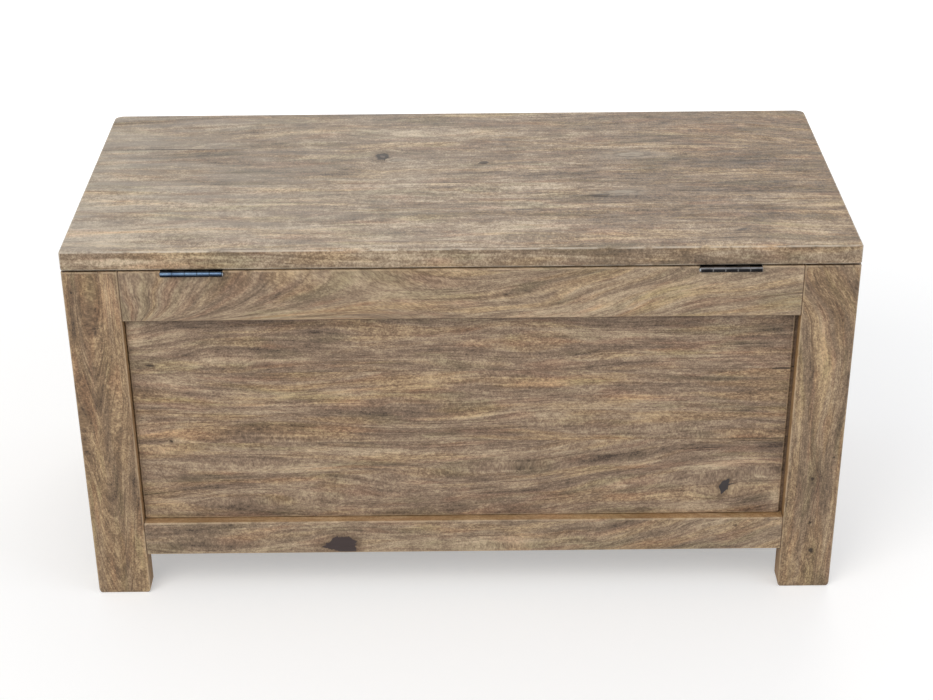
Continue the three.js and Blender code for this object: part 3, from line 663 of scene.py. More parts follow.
# Figure of single boards, read off the photograph board by board. Centres are places in the frame,
# along and across the board; lengths are mm.
# tone, warmth: how much lighter and how much more golden the board is.
# lean: places along the board, as shares from its low end, and how far across the grain has moved.
# pith: its place across and its depth behind the show face, from the board's middle, and how fast
# that depth grows along the board. rings: how close the year rings lie.
# hills: centre, half length, half width and height of a mound that lifts the rings to closed loops.
# patches: centre, half length, half width and how much lighter they are.
# fan: the place along and across from which the rings spread, and its reach across.
# knots: centre, half length, half width, turn in degrees and kind.
FIGURES = {
    "lid_board_1": dict(
        tone=0.06, warmth=0.0, pith=(120, 60, 0.05), lean=[(0, 16), (0.14, 3), (0.45, 3), (1, -4)],
        hills=[(215, 152, 60, 15, 14), (150, 146, 40, 9, 8)],
        patches=[(233, 152, 55, 12, -0.1), (-420, 190, 60, 22, 0.1), (60, 165, 160, 20, 0.06),
                 (430, 165, 110, 60, 0.16), (-340, 165, 200, 60, -0.1)],
        knots=[(-348, 185, 7, 2, 20, SOUND)],
    ),
    "lid_board_2": dict(
        tone=0.0, warmth=-0.1, pith=(-140, 60, 0.03), lean=[(0, 4), (0.3, 0), (0.6, 0), (1, -3)],
        hills=[(-205, 70, 36, 8, 8)],
        patches=[(204, 60, 120, 10, 0.12), (-205, 80, 70, 9, -0.12), (-480, 113, 40, 18, 0.2),
                 (244, 97, 40, 3, 0.25), (440, 60, 110, 60, 0.14), (-340, 70, 200, 60, -0.14)],
        knots=[(-208, 67, 26, 7, 6, BURL), (-178, 80, 20, 2, -8, SOUND)],
    ),
    "lid_board_3": dict(
        tone=-0.06, warmth=-0.2, pith=(90, 45, 0.06), lean=[(0, 0), (0.5, 4), (1, 0)],
        hills=[(-226, -60, 34, 12, 18), (92, -58, 50, 12, 8)],
        patches=[(345, -62, 130, 18, -0.2), (-344, -40, 90, 22, -0.2), (-136, -32, 36, 12, 0.2),
                 (-290, -50, 60, 9, 0.18), (-170, 6, 150, 7, -0.25), (415, -34, 24, 6, -0.3),
                 (-380, -60, 160, 60, -0.1), (460, -40, 70, 60, 0.12)],
        knots=[(105, -57.5, 8.5, 11, 0, RINGED), (-31, -33, 7, 5, 20, SOUND),
               (-232, -58, 28, 10, 4, BURL), (84, -45, 12, 6, 0, BURL), (415, -88.4, 90, 1.0, 0, CRACK)],
    ),
    "lid_board_4": dict(
        tone=-0.06, warmth=0.1, pith=(60, 30, 0.07), lean=[(0, 30), (0.1, 12), (0.2, 0), (0.7, -5), (1, 6)],
        hills=[(60, -128, 90, 24, 22), (-310, -186, 40, 16, 14), (-400, -196, 40, 10, 12)],
        knots=[(415, -88.5, 90, 1.0, 0, CRACK)],
        patches=[(100, -150, 110, 22, 0.14), (-330, -200, 90, 14, -0.14), (440, -150, 60, 40, 0.06),
                 (-180, -130, 220, 16, 0.1), (-420, -160, 160, 60, -0.1)],
    ),
    "back_top_rail": dict(
        tone=0.04, warmth=0.0, fan=(408, 511, 104),
        lean=[(0, 64), (0.13, 56), (0.38, -8), (0.56, -20), (1, -20)],
        patches=[(395, 459, 24, 9, 0.1), (96, 438, 50, 10, 0.16), (247, 421, 60, 7, 0.16),
                 (-137, 424, 90, 10, 0.22), (-184, 461, 70, 10, 0.14), (-209, 445, 44, 5, -0.2),
                 (-383, 472, 40, 9, -0.15), (300, 450, 50, 18, -0.1), (150, 462, 60, 12, 0.12),
                 (-250, 440, 200, 30, 0.1)],
    ),
    "back_bottom_rail": dict(
        tone=0.06, warmth=0.0,
        lean=[(0, 90), (0.1, 62), (0.2, 36), (0.3, 14), (0.42, 2), (0.7, 0), (1, -4)],
        patches=[(345, 101, 60, 4, -0.24), (345, 92, 26, 6, -0.08), (-200, 101, 110, 5, -0.2),
                 (20, 84, 120, 10, 0.1)],
        knots=[(162.5, 75, 23.5, 13, 0, FILLED), (-359, 100, 1.8, 0.9, 0, SOUND)],
    ),
    "back_right_leg": dict(
        tone=0.0, warmth=1.8, rings=2.4, pith=(0, 24, -0.09), lean=[(0, 0), (0.3, 3), (0.5, 8), (1, 4)],
        patches=[(445, 437, 44, 6, 0.3), (440, 426, 30, 3, 0.3), (250, 484, 300, 7, -0.1),
                 (400, 482, 30, 9, -0.2), (175, 428, 60, 5, -0.2), (90, 478, 90, 10, 0.1),
                 (340, 456, 110, 50, -0.06), (110, 456, 120, 50, 0.08)],
        knots=[(452, 479.6, 2, 1.2, 0, SOUND)],
    ),
    "back_left_leg": dict(
        tone=0.0, warmth=1.2, rings=1.6, pith=(-70, 30, 0.05),
        lean=[(0, 6), (0.3, -3), (0.7, 0), (0.84, 8), (1, 46)],
        hills=[(180, -459, 34, 9, 10), (17, -452, 22, 14, 16)],
        patches=[(440, -440, 44, 30, -0.2), (452, -476, 30, 8, -0.2), (350, -453, 80, 9, 0.28),
                 (262, -434, 50, 6, 0.25), (150, -470, 90, 10, -0.1), (120, -430, 70, 6, -0.12)],
        knots=[(171, -454.5, 2.4, 1.9, 0, SOUND), (102.8, -456.9, 1.8, 1.6, 0, SOUND),
               (58.6, -461.3, 4, 2.6, 10, SOUND), (203.6, -479.7, 1.3, 1.0, 0, SOUND)],
    ),
    "back_panel_board_1": dict(
        tone=-0.04, warmth=-0.3, pith=(-150, 60, 0.02),
        lean=[(0, 4), (0.3, -2), (0.7, 4), (0.92, 0), (1, -10)],
        hills=[(366, 350, 34, 22, 14)],
        patches=[(408, 392, 14, 20, 0.34), (236, 398, 150, 6, -0.16), (223, 364, 56, 9, -0.2),
                 (-278, 351, 70, 7, 0.16), (-174, 376, 90, 3, 0.2), (-399, 379, 26, 26, -0.16),
                 (60, 372, 150, 12, 0.06)],
        knots=[(394, 342, 5, 1.6, 8, SOUND), (-408, 330, 17, 1.3, 0, CRACK)],
    ),
    "back_panel_board_2": dict(
        tone=0.09, warmth=0.4, pith=(160, 50, 0.02), lean=[(0, 0), (0.4, 5), (0.8, -3), (1, 4)],
        hills=[(362, 236, 22, 9, 7)],
        patches=[(258, 250, 64, 11, -0.28), (381, 318, 50, 5, 0.24), (381, 246, 34, 8, 0.24),
                 (156, 298, 110, 5, 0.2), (393, 284, 16, 30, -0.16), (-367, 291, 36, 24, -0.24),
                 (-280, 285, 100, 10, 0.18), (-120, 262, 160, 9, 0.12), (40, 240, 140, 7, -0.1)],
        knots=[(376, 230, 2.4, 1.6, 30, SOUND), (-408, 330, 17, 1.3, 0, CRACK),
               (-390, 226.5, 42, 0.8, 0, CRACK)],
    ),
    "back_panel_board_3": dict(
        tone=0.06, warmth=0.0, pith=(90, 34, 0.05),
        lean=[(0, 40), (0.14, 36), (0.26, 24), (0.4, 4), (0.55, -4), (0.8, -4), (1, 0)],
        hills=[(250, 152, 120, 30, 26)],
        patches=[(285, 212, 130, 7, 0.3), (260, 186, 120, 8, 0.2), (300, 175, 60, 5, -0.28),
                 (330, 160, 40, 5, -0.24), (301, 126, 60, 5, -0.24), (-230, 205, 130, 6, -0.32),
                 (-403, 216, 26, 7, -0.45), (-331, 187, 40, 6, 0.26), (-380, 125, 26, 16, -0.24),
                 (-300, 121, 60, 5, 0.22), (-412, 134, 7, 12, 0.36), (-202, 158, 26, 7, 0.16),
                 (397, 137, 30, 8, 0.16), (182, 147, 30, 7, 0.14)],
        knots=[(-342.5, 154, 13.5, 8, -52, HOOKED), (-390, 226.5, 42, 0.8, 0, CRACK)],
    ),
}


# What a board without a figure of its own draws at random: a start in the wood, its tone and
# warmth, how far its grain leans, and where its pith lies
START_REACH = 4000
TONE_SPREAD = 0.05
WARMTH_SPREAD = 0.2
LEAN_SPREAD = 5
PITH_ACROSS = (60, 160)
PITH_DEPTH = (25, 60)
PITH_SLOPE = 0.04
# The grain's unevenness: how many waves, how long along and across, how high for their length
WAVE_COUNT = 8
WAVE_LENGTHS = (90, 620)
WAVE_WIDTHS = (30, 150)
WAVE_SLOPE = 0.0034
# A fan of rings: its curves open with the sweep beyond a core, tilt with the depth and end in
# straight grain, over a length that starts at a place along the board
FAN_SCALE = 48
FAN_CORE = 140
FAN_TILT = 0.3
FAN_FIBRES = 1.6
FAN_DEEPEST = 0.985
FAN_SETTLES = 150
FAN_SETTLING = 250
FAN_FLATTENING = 0.4
FAN_SHORTENING = 200
# A knot's mark reaches this many of its half lengths. The width below which it reaches as if it
# were wider, so that the mesh catches it. How many of its half lengths the fibres part round it.
KNOT_REACH = 3.6
NARROWEST = 2.5
PARTING = 2.2
NO_KNOT = (9.0, 9.0, 0.0)
# Distances in mm: beyond every pale edge, how far end grain darkens a joint, how soon a rebate is
# darkened by painted shade, how near a rail's ends its dark joint lines lie, and how near a top
# rail's lower edge its painted shade lies
FAR_FROM_EDGE = 20
JOINT_SHADE = 1.6
REBATE_FADE = 0.4
DARK_JOINT_REACH = 0.6
SHADED_LOW_EDGE = 0.8
CLEAN = -1.0
# The lid's painted sheen, a pale grey that stands for the sky's reflection on its top, grows from
# one end to the other, and its edges are browner than its top
SHEEN_START = -0.6
SHEEN_GAIN = 1.6
LID_EDGE_BROWN = 0.2
# Glue lines of the side panels and of the well's floor, as shares of their breadth
PANEL_GLUE_LINES = (0.36, 0.7)
FLOOR_GLUE_LINES = (0.27, 0.5, 0.76)


def wandering(along, places, offsets):
    """A smooth course through the places: between two of them it eases in and out by a cosine."""
    places, offsets = np.asarray(places, float), np.asarray(offsets, float)
    span = np.clip(np.searchsorted(places, along) - 1, 0, len(places) - 2)
    share = np.clip((along - places[span]) / (places[span + 1] - places[span]), 0, 1)
    eased = (1 - np.cos(math.pi * share)) / 2 * 0.5 + share * 0.5
    return offsets[span] + (offsets[span + 1] - offsets[span]) * eased


def waves(along, across, rng):
    """The grain's unevenness: a sum of seeded sines that run on a slant along the board."""
    long_way = rng.uniform(*WAVE_LENGTHS, WAVE_COUNT)
    cross_way = rng.uniform(*WAVE_WIDTHS, WAVE_COUNT) * rng.choice([-1, 1], WAVE_COUNT)
    phases = rng.uniform(0, 2 * math.pi, WAVE_COUNT)
    turns = along[:, None] / long_way + across[:, None] / cross_way
    return (np.sin(2 * math.pi * turns + phases) * long_way * WAVE_SLOPE).sum(axis=1)


def with_mounds(values, mounds, follow):
    """The values with a bell over an oval added for each hill or patch."""
    for *centre, half_length, half_width, height in mounds:
        along, across = follow(centre)
        off_a, off_c = (along - centre[0]) / half_length, (across - centre[1]) / half_width
        values = values + height * np.exp(-off_a ** 2 - off_c ** 2)
    return values


def with_knots(points, straight, knots):
    """The knot attribute of the points, and their places across with the fibres parted round knots."""
    nearest = np.full(len(points), np.inf)
    marks = np.tile(NO_KNOT, (len(points), 1))
    for along, across, half_length, half_width, turn, kind in knots:
        angle = math.radians(turn)
        off_a, off_c = points[:, 0] - along, points[:, 1] - across
        u = (off_a * math.cos(angle) + off_c * math.sin(angle)) / half_length
        v = (off_c * math.cos(angle) - off_a * math.sin(angle)) / half_width
        away = np.hypot(u, v * min(1, half_width / NARROWEST))
        mine = np.stack([u, v, np.where(away < KNOT_REACH, kind, 0.0)], axis=1)
        marks = np.where((away < nearest)[:, None], mine, marks)
        nearest = np.minimum(nearest, away)
        if kind not in (BURL, CRACK):
            wide = np.hypot(off_a / half_length, off_c / half_width) / PARTING
            straight = straight - off_c / (1 + wide ** 2)
    return marks, straight


def fanned(fan, points, wave, straight, depth):
    """A fan's coordinates: the way along its curves, and the places across them of fibres and rings."""
    root, height, spread = fan
    settled = np.clip((FAN_SETTLES - points[:, 0]) / FAN_SETTLING, 0, 1)
    settled = settled ** 2 * (3 - 2 * settled)
    aside, below = root - points[:, 0] + wave, height - points[:, 1]
    dip = np.clip(below / spread, 0, FAN_DEEPEST) * (1 - FAN_FLATTENING * settled)
    sweep = aside / np.sqrt(1 - dip ** 2)
    curves = FAN_SCALE * np.arcsinh(sweep / FAN_CORE)
    run = np.hypot(below, sweep - aside) / 2
    run = run - aside * np.abs(aside) / (np.abs(aside) + FAN_SHORTENING)
    ordinary = straight * settled
    return run, curves * FAN_FIBRES - ordinary, curves - ordinary + depth * FAN_TILT


def edge_distance(points, low, high, glued):
    """The distance from the nearest arris; a low or high edge that is glued to a neighbour has none."""
    gaps = np.abs(np.minimum(points - low, high - points))
    for is_glued, place in zip(glued, (low[1], high[1])):
        if is_glued:
            near = np.abs(points[:, 1] - place) < FAR_FROM_EDGE
            gaps[:, 1] = np.where(near, FAR_FROM_EDGE, gaps[:, 1])
    return np.sort(gaps, axis=1)[:, 1]


def grain_of(
    name, points, reach, show=1, strips=(), haze=False, glued=(False, False), ledge=0,
    dusty=(CLEAN, CLEAN),
):
    """The grain, growth, knot, wear and sheen, and stain and shade attributes of a board's points.

    Grain is the place along, across and through, with the fibres straightened: they lean as the
    board's figure says and part round each knot as a stream parts round a stone, or run in a fan.
    Growth is the place along, the distance from the pith and the depth. The wear and sheen attribute
    is the distance from an edge, the painted sheen on a top and the tone. The stain and shade
    attribute is the painted shade of a rebate and of a top rail's lower edge and the dark joint lines
    at a rail's ends, below zero for a ledge that has kept its first colour, then the end grain and
    the warmth. Show is the outer side, and strips are the glue lines inside a board. Glued is said of
    its low and high edge, ledge is the edge that the panel stands on, and the last argument is how
    near its ends its dark joint lines lie and how near its low edge its painted shade lies.
    """
    figure = FIGURES.get(name, {})
    rng = np.random.default_rng(sum(ord(letter) * (i + 1) for i, letter in enumerate(name)))
    low, high = reach
    length, middle = high[0] - low[0], (low + high) / 2
    along, across = points[:, 0] - middle[0], points[:, 1] - middle[1]
    depth = (high[2] - points[:, 2]) if show > 0 else (points[:, 2] - low[2])
    strip, count = np.searchsorted(np.asarray(strips, float), points[:, 1]), len(strips) + 1
    starts = rng.uniform(0, START_REACH, (count, 3))[strip]
    tone = (rng.uniform(-TONE_SPREAD, TONE_SPREAD, count) + figure.get("tone", 0.0))[strip]
    warmth = (rng.uniform(-WARMTH_SPREAD, WARMTH_SPREAD, count) + figure.get("warmth", 0.0))[strip]
    leans = [rng.uniform(-LEAN_SPREAD, LEAN_SPREAD) for _ in range(2)]
    shares, offsets = zip(*figure.get("lean", [(0, 0), (0.5, leans[0]), (1, leans[1])]))
    places = (np.array(shares) - 0.5) * length
    drift, wave = wandering(along, places, offsets), waves(along, across, rng)
    pith_across, pith_depth, slope = figure.get("pith", (
        rng.choice([-1, 1]) * rng.uniform(*PITH_ACROSS), rng.uniform(*PITH_DEPTH),
        rng.uniform(-PITH_SLOPE, PITH_SLOPE),
    ))

    def follow(centre):
        """Places along and across, as if the grain ran straight through a centre."""
        lean_there = wandering(np.array([centre[0] - middle[0]]), places, offsets)[0]
        return points[:, 0], points[:, 1] - drift + lean_there

    rise = with_mounds(np.zeros(len(points)), figure.get("hills", []), follow)
    tone = with_mounds(tone, figure.get("patches", []), follow)
    knot, straight = with_knots(points, across - drift - wave, figure.get("knots", []))
    distance, run = np.hypot(straight - pith_across, depth + pith_depth + slope * along), along
    if "fan" in figure:
        run, straight, distance = fanned(figure["fan"], points, wave, straight, depth)
    distance = (distance + rise) * figure.get("rings", 1.0)

    gaps = np.minimum(points - low, high - points)
    # Painted shade in rebates and under a top rail's edge, dark joint lines at a rail's ends, and below zero
    # a ledge
    recess = np.clip(-gaps[:, :2].min(axis=1) / REBATE_FADE, 0, 1)
    if ledge:
        beyond = ledge * (points[:, 1] - (high[1] if ledge > 0 else low[1]))
        recess = np.where(beyond > -GLUED_EASE, -1.0, recess)
    in_joint_or_shade = (np.abs(gaps[:, 0]) < dusty[0]) | (points[:, 1] - low[1] < dusty[1])
    recess = np.where(in_joint_or_shade, 1.0, recess)
    edge = np.where(in_joint_or_shade, FAR_FROM_EDGE, edge_distance(points, low, high, glued))
    end_grain = np.clip(1 - np.abs(gaps[:, 0]) / JOINT_SHADE, 0, 1)
    # Painted sheen on the lid's top, stronger towards one end; its edges browner
    top = np.zeros(len(points))
    if haze:
        growing = SHEEN_GAIN * (points[:, 0] - low[0]) / length + SHEEN_START
        top = np.clip(1 - depth / LID_EASE, 0, 1) * growing
        top = np.where(depth < LID_EASE, top, -LID_EDGE_BROWN)
    return {
        "grain": np.stack([run, straight, depth], axis=1) + starts,
        "growth": np.stack([run, distance, depth * 0.5], axis=1) + starts[:, ::-1],
        "knot": knot,
        "wear": np.stack([edge, top, tone], axis=1),
        "stain": np.stack([recess, end_grain, warmth], axis=1),
    }


def shares_between(low, high, spacing, lines=()):
    """Even shares of a stretch, with a close pair at each glue line that crosses it."""
    count = max(2, int(round((high - low) / spacing)))
    even = np.linspace(0, 1, count + 1)[1:-1]
    pairs = [(line - low + side * GLUE_LINE) / (high - low) for line in lines for side in (-1, 1)]
    return np.unique(np.concatenate([even, pairs]))


def make_board(name, axes, rows, finish, body, spacing=FINE, reach=None, strips=(), **outside):
    """One board: its rows made into rings, laid along the axes and dressed with its grain.

    Reach is the lowest and highest corner of a board whose tenons don't count; outside is what
    grain_of has to know of its sides.
    """
    rows = refined(rows, spacing)
    low, high = reach or (rows[:, [0, 1, 3]].min(axis=0), rows[:, [0, 2, 4]].max(axis=0))
    across = shares_between(low[1], high[1], spacing, strips)
    through = np.linspace(0, 1, max(3, int((high[2] - low[2]) / spacing) + 1))[1:-1]
    points, triangles = welded(ring_points(rows, across, through))
    attributes = grain_of(name, points, (low, high), strips=strips, **outside)
    placed = points[:, [axes.index(axis) for axis in "xyz"]]
    piece = fill_mesh(name + "_wood", placed, triangles, attributes)
    piece.modifiers.new("flat_faces", "WEIGHTED_NORMAL").keep_sharp = True
    finish_piece(piece, body, woods[finish], [name])


def box_mm(node, axes="xyz"):
    """A CAD node's lowest and highest corner in mm, in the order of these axes."""
    order = ["xyz".index(axis) for axis in axes]
    return [(np.array(corner) / MM)[order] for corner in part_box(node)]


def make_plain(name, axes, finish, body, ease=SMALL_EASE, **outside):
    """A board without cuts: the CAD node's box with eased edges and ends."""
    low, high = box_mm(name, axes)
    block = partial(section, c=(low[1], high[1]), e=(low[2], high[2]), ease=(ease,) * 4)
    rows = capped(block(low[0]), [], block(high[0]), ease, COARSE)
    make_board(name, axes, rows, finish, body, COARSE, **outside)


# Levels and reaches of the chest, read from its frame
leg_low, leg_high = box_mm("back_right_leg")
top_low, top_high = box_mm("back_top_rail")
sill_low, sill_high = box_mm("back_bottom_rail")
FRAME_THICKNESS = top_high[1] - top_low[1]
OPENING_X = leg_low[0]
OPENING_BOTTOM = sill_high[2]
OPENING_TOP = top_low[2]
DIVIDER_HALF = box_mm("drawer_divider")[1][0]
MIDDLE_RAIL = tuple(corner[2] for corner in box_mm("front_mid_rail"))
RAIL_LEVELS = {
    "top": (OPENING_TOP, leg_high[2]), "mid": MIDDLE_RAIL, "bottom": (sill_low[2], OPENING_BOTTOM),
}
# Eased upper outer corner of each rail
RAIL_EASE = {"top": SEAM_EASE, "mid": FRAME_EASE, "bottom": SILL_EASE}
# Each face of the frame: a rail's axes along, across and through, its outer surface, which way is
# out, the length of its tenons, its rails from below, and the reach of its panel's opening
OPENING = (OPENING_BOTTOM, OPENING_TOP)
FACES = {
    "back": ("xzy", leg_high[1], 1, STILE_TENON, ("bottom", "top"), OPENING),
    "front": (
        "xzy", box_mm("front_right_leg")[0][1], -1, STILE_TENON, ("bottom", "mid", "top"),
        (MIDDLE_RAIL[1], OPENING_TOP),
    ),
    "left": ("yzx", -leg_high[0], -1, POST_TENON, ("bottom", "top"), OPENING),
    "right": ("yzx", leg_high[0], 1, POST_TENON, ("bottom", "top"), OPENING),
}


def through_face(face, start, end):
    """Two depths behind a face's outer surface, as places on its axis in rising order."""
    _, place, out, *_ = FACES[face]
    return tuple(sorted((place - out * start, place - out * end)))


def groove_through(face, play=0.0):
    """The places of a panel's tongue behind a face, or with play of its groove."""
    start = PANEL_RECESS + REBATE_DEPTH
    return through_face(face, start - play, start + TONGUE_THICKNESS + play)


def tenon_through(face, play=0.0):
    """The places of a tenon behind a face, or with play of its mortise."""
    inside = (FRAME_THICKNESS - TENON_THICKNESS) / 2 - play
    return through_face(face, inside, FRAME_THICKNESS - inside)


def leg_cuts(face):
    """Mortises for a face's rails and the groove for its panel, as (from, to, through, depth)."""
    _, _, _, tenon, rails, opening = FACES[face]
    bottom, top = opening[0] - GROOVE_DEPTH, opening[1] + GROOVE_DEPTH
    cuts = [(bottom, top, groove_through(face, PLAY), GROOVE_DEPTH)]
    for rail in rails:
        low, high = RAIL_LEVELS[rail]
        start, end = low + TENON_SHOULDER - PLAY, high - TENON_SHOULDER + PLAY
        cuts.append((start, end, tenon_through(face, PLAY), tenon + PLAY))
    return sorted(cuts)


def make_leg(name, axes, face, corner_side, is_post):
    """A leg, or a post glued behind it: wood up the chest, cut for rails and panel, its foot rounded.

    Corner_side is the side of the chest's corner; the panel is on the other side.
    """
    low, high = box_mm(name, axes)
    out = FACES[face][2]
    # Where each corner's ease stands in a section, by the corner's side across and through
    corners = {(-1, -1): 0, (-1, 1): 1, (1, 1): 2, (1, -1): 3}
    ease = [GLUED_EASE] * 4
    ease[corners[(-corner_side, out)]] = FRAME_EASE
    ease[corners[(-corner_side, -out)]] = SMALL_EASE
    # The foot's rounding draws in all sides but the glued one, and the leg's face only by a share
    drawn = [1.0] * 4
    if is_post:
        drawn[0 if corner_side < 0 else 1] = 0.0
    else:
        ease[corners[(corner_side, out)]] = CORNER_EASE
        inner, outer = (2, 3) if out > 0 else (3, 2)
        drawn[inner], drawn[outer] = 0.0, FOOT_FACE_SHARE
    length = partial(section, c=(low[1], high[1]), e=(low[2], high[2]), ease=ease)
    side = "low" if corner_side > 0 else "high"
    cut_rows = [
        length(place, **{side: (*through, depth)})
        for start, end, through, deepest in leg_cuts(face)
        for place, depth in ((start, 0.0), (start, deepest), (end, deepest), (end, 0.0))
    ]
    rows = closed_end(length(low[0]), -1, FOOT_EASE, FINE, drawn)[::-1]
    rows += [row for row in cut_rows if low[0] < row[0] < high[0]]
    rows += closed_end(length(high[0]), 1, SEAM_EASE, FINE)
    make_board(name, axes, rows, "frame_wood", "carcass", show=out, ledge=-corner_side)


def make_legs():
    """Four stiles on the front and back, and a post glued behind each on the sides."""
    for face in ("back", "front"):
        for side, sx in SIDES:
            make_leg(f"{face}_{side}_leg", "zxy", face, sx, False)
            make_leg(f"{face}_{side}_side_post", "zyx", side, FACES[face][2], True)


def hinge_rows(rail, side, top, back):
    """Rows of the back top rail round the pocket that a hinge leaf is let into."""
    low, high = box_mm(f"{side}_hinge_rail_leaf")
    start, end, inner = low[0] - PLAY, high[0] + PLAY, low[1] - PLAY
    depth = top - (low[2] - GLUE_PLAY)
    flush = dict(high=(inner, back, 0.0))
    pocket = dict(high=(inner, back, depth), drop=depth)
    return [rail(start, **flush), rail(start, **pocket), rail(end, **pocket), rail(end, **flush)]


def make_rail(face, level):
    """A rail between two legs: shoulders, tenons, the panel's groove, and pockets for the hinges."""
    name = f"{face}_{level}_rail"
    axes, _, out, tenon, _, opening = FACES[face]
    low, high = box_mm(name, axes)
    start, end = low[0] + tenon, high[0] - tenon
    c, e = RAIL_LEVELS[level], through_face(face, 0, FRAME_THICKNESS)
    outer_low, outer_high = (1, 2) if out > 0 else (0, 3)
    ease = [SMALL_EASE] * 4
    ease[outer_low], ease[outer_high] = FRAME_EASE, RAIL_EASE[level]
    groove = (*groove_through(face, PLAY), GROOVE_DEPTH)
    meets = (("high", c[1], opening[0]), ("low", c[0], opening[1]))
    cuts = {side: groove for side, edge, panel in meets if edge == panel}
    rail = partial(section, c=c, e=e, ease=ease, **cuts)
    tenon_c = (c[0] + TENON_SHOULDER, c[1] - TENON_SHOULDER)
    thin = partial(section, c=tenon_c, e=tenon_through(face), ease=(SMALL_EASE,) * 4)
    middle = [rail(start + JOINT_SHADE)]
    if name == "back_top_rail":
        for side, _ in SIDES:
            middle += hinge_rows(rail, side, c[1], e[1])
    middle.append(rail(end - JOINT_SHADE))
    shoulder = lambda place: inset(rail(place), SEAM_EASE)
    rows = tongued(
        thin, rail, shoulder, (low[0], high[0]), (start, end), SEAM_EASE, SMALL_EASE, middle,
    )
    make_board(
        name, axes, rows, "frame_wood", "carcass", show=out, ledge=int(level == "bottom"),
        reach=(np.array([start, c[0], e[0]]), np.array([end, c[1], e[1]])),
        # Dark joint lines at the ends, and painted shade under a top rail's lower edge
        dusty=(DARK_JOINT_REACH, SHADED_LOW_EDGE if level == "top" else CLEAN),
    )


def make_divider():
    """The short post between the drawers, with a stub tenon at each end."""
    low, high = box_mm("drawer_divider", "zxy")
    ease = (FRAME_EASE, SMALL_EASE, SMALL_EASE, FRAME_EASE)
    post = partial(section, c=(low[1], high[1]), e=(low[2], high[2]), ease=ease)
    tenon_c = (low[1] + DIVIDER_SHOULDER, high[1] - DIVIDER_SHOULDER)
    thin = partial(section, c=tenon_c, e=tenon_through("front"), ease=(SMALL_EASE,) * 4)
    shoulder = lambda place: inset(post(place), SEAM_EASE)
    field = (low[0] + DIVIDER_TENON, high[0] - DIVIDER_TENON)
    rows = tongued(thin, post, shoulder, (low[0], high[0]), field, SEAM_EASE, SMALL_EASE)
    make_board("drawer_divider", "zxy", rows, "frame_wood", "carcass", show=-1)


def make_panel_board(name, face, gaps, strips=()):
    """A panel board: a raised field with a tongue at each end and at each edge that meets the frame."""
    axes, _, out, _, _, (bottom, top) = FACES[face]
    low, high = box_mm(name, axes)
    field = (low[0] + TONGUE_LENGTH + gaps[0], high[0] - TONGUE_LENGTH - gaps[1])
    at_bottom, at_top = low[1] < bottom, high[1] > top
    c = (bottom + PANEL_GAP if at_bottom else low[1], top - PANEL_GAP if at_top else high[1])
    e = through_face(face, PANEL_RECESS, PANEL_RECESS + PANEL_THICKNESS)
    tongue = groove_through(face)
    ease = [FIELD_EASE if meets else GLUED_EASE for meets in (at_bottom, at_bottom, at_top, at_top)]
    tongues = dict(low=(*tongue, low[1] - c[0]), high=(*tongue, c[1] - high[1]))
    raised = partial(section, c=c, e=e, ease=ease, **tongues)
    thin = partial(section, c=(low[1], high[1]), e=tongue, ease=(GLUED_EASE,) * 4)

    def drawn_in(place):
        """The field's end, thinner by its eased edges."""
        row = raised(place)
        row[3:5] += (FIELD_EASE, -FIELD_EASE)
        return row

    rows = tongued(thin, raised, drawn_in, (low[0], high[0]), field, FIELD_EASE, GLUED_EASE)
    make_board(
        name, axes, rows, "panel_wood", "carcass", show=out, strips=strips,
        reach=(np.array([field[0], c[0], e[0]]), np.array([field[1], c[1], e[1]])),
        glued=(not at_bottom, not at_top),
    )


def make_panels():
    """Three boards at the back, shrunk away from one leg, and one panel on each other face."""
    for i in (1, 2, 3):
        make_panel_board(f"back_panel_board_{i}", "back", (BACK_SHRINKAGE, PANEL_GAP))
    make_panel_board("front_panel", "front", (PANEL_GAP, PANEL_GAP))
    height = OPENING_TOP - OPENING_BOTTOM
    strips = [OPENING_BOTTOM + share * height for share in PANEL_GLUE_LINES]
    for side, _ in SIDES:
        make_panel_board(f"{side}_panel", side, (PANEL_GAP, PANEL_GAP), strips)


def lid_end(at, way, end, radius):
    """Rows of a lid board's end, from inside to its middle line.

    The outer edge follows a quarter circle of the corner's radius, and the end is rounded by the
    lid's ease.
    """
    quarter = np.sin(np.linspace(0, 1, LID_ARC_POINTS) * math.pi / 2)
    places = np.concatenate([end - r + r * quarter for r in (radius, LID_EASE) if r])
    rows = []
    for place in np.unique(np.round(places, 3)):
        row = at(way * place)
        over = np.clip(place - (end - LID_EASE), 0, LID_EASE)
        lift = LID_EASE - math.sqrt(max(LID_EASE ** 2 - over ** 2, 0))
        row[3:5] += (lift, -lift)
        row[5:9] = np.maximum(row[5:9] - lift, 0)
        rows.append(row)
    depth = (rows[-1][4] - rows[-1][3]) / 2
    return rows + closing(rows[-1], depth, int(depth / FINE) + 1)


def make_lid_boards():
    """Four boards glued edge to edge; the outer two carry the lid's rounded corners."""
    for i in (1, 2, 3, 4):
        name = f"lid_board_{i}"
        low, high = box_mm(name)
        is_back, is_front = i == 1, i == 4
        radius = LID_BACK_CORNER if is_back else LID_FRONT_CORNER if is_front else 0.0
        ease = [LID_EASE if outer else GLUED_EASE for outer in (is_front, is_front, is_back, is_back)]

        def at(place):
            """The board at one place along it, its outer edge drawn in near a corner."""
            beyond = np.clip(abs(place) - (high[0] - radius), 0, radius)
            back_in = radius - math.sqrt(max(radius ** 2 - beyond ** 2, 0))
            c = (low[1] + back_in * is_front, high[1] - back_in * is_back)
            return section(place, c, (low[2], high[2]), ease)

        rows = lid_end(at, -1, high[0], radius)[::-1] + lid_end(at, 1, high[0], radius)
        make_board(
            name, "xyz", rows, "lid_wood", "lid", haze=True, glued=(not is_front, not is_back),
        )


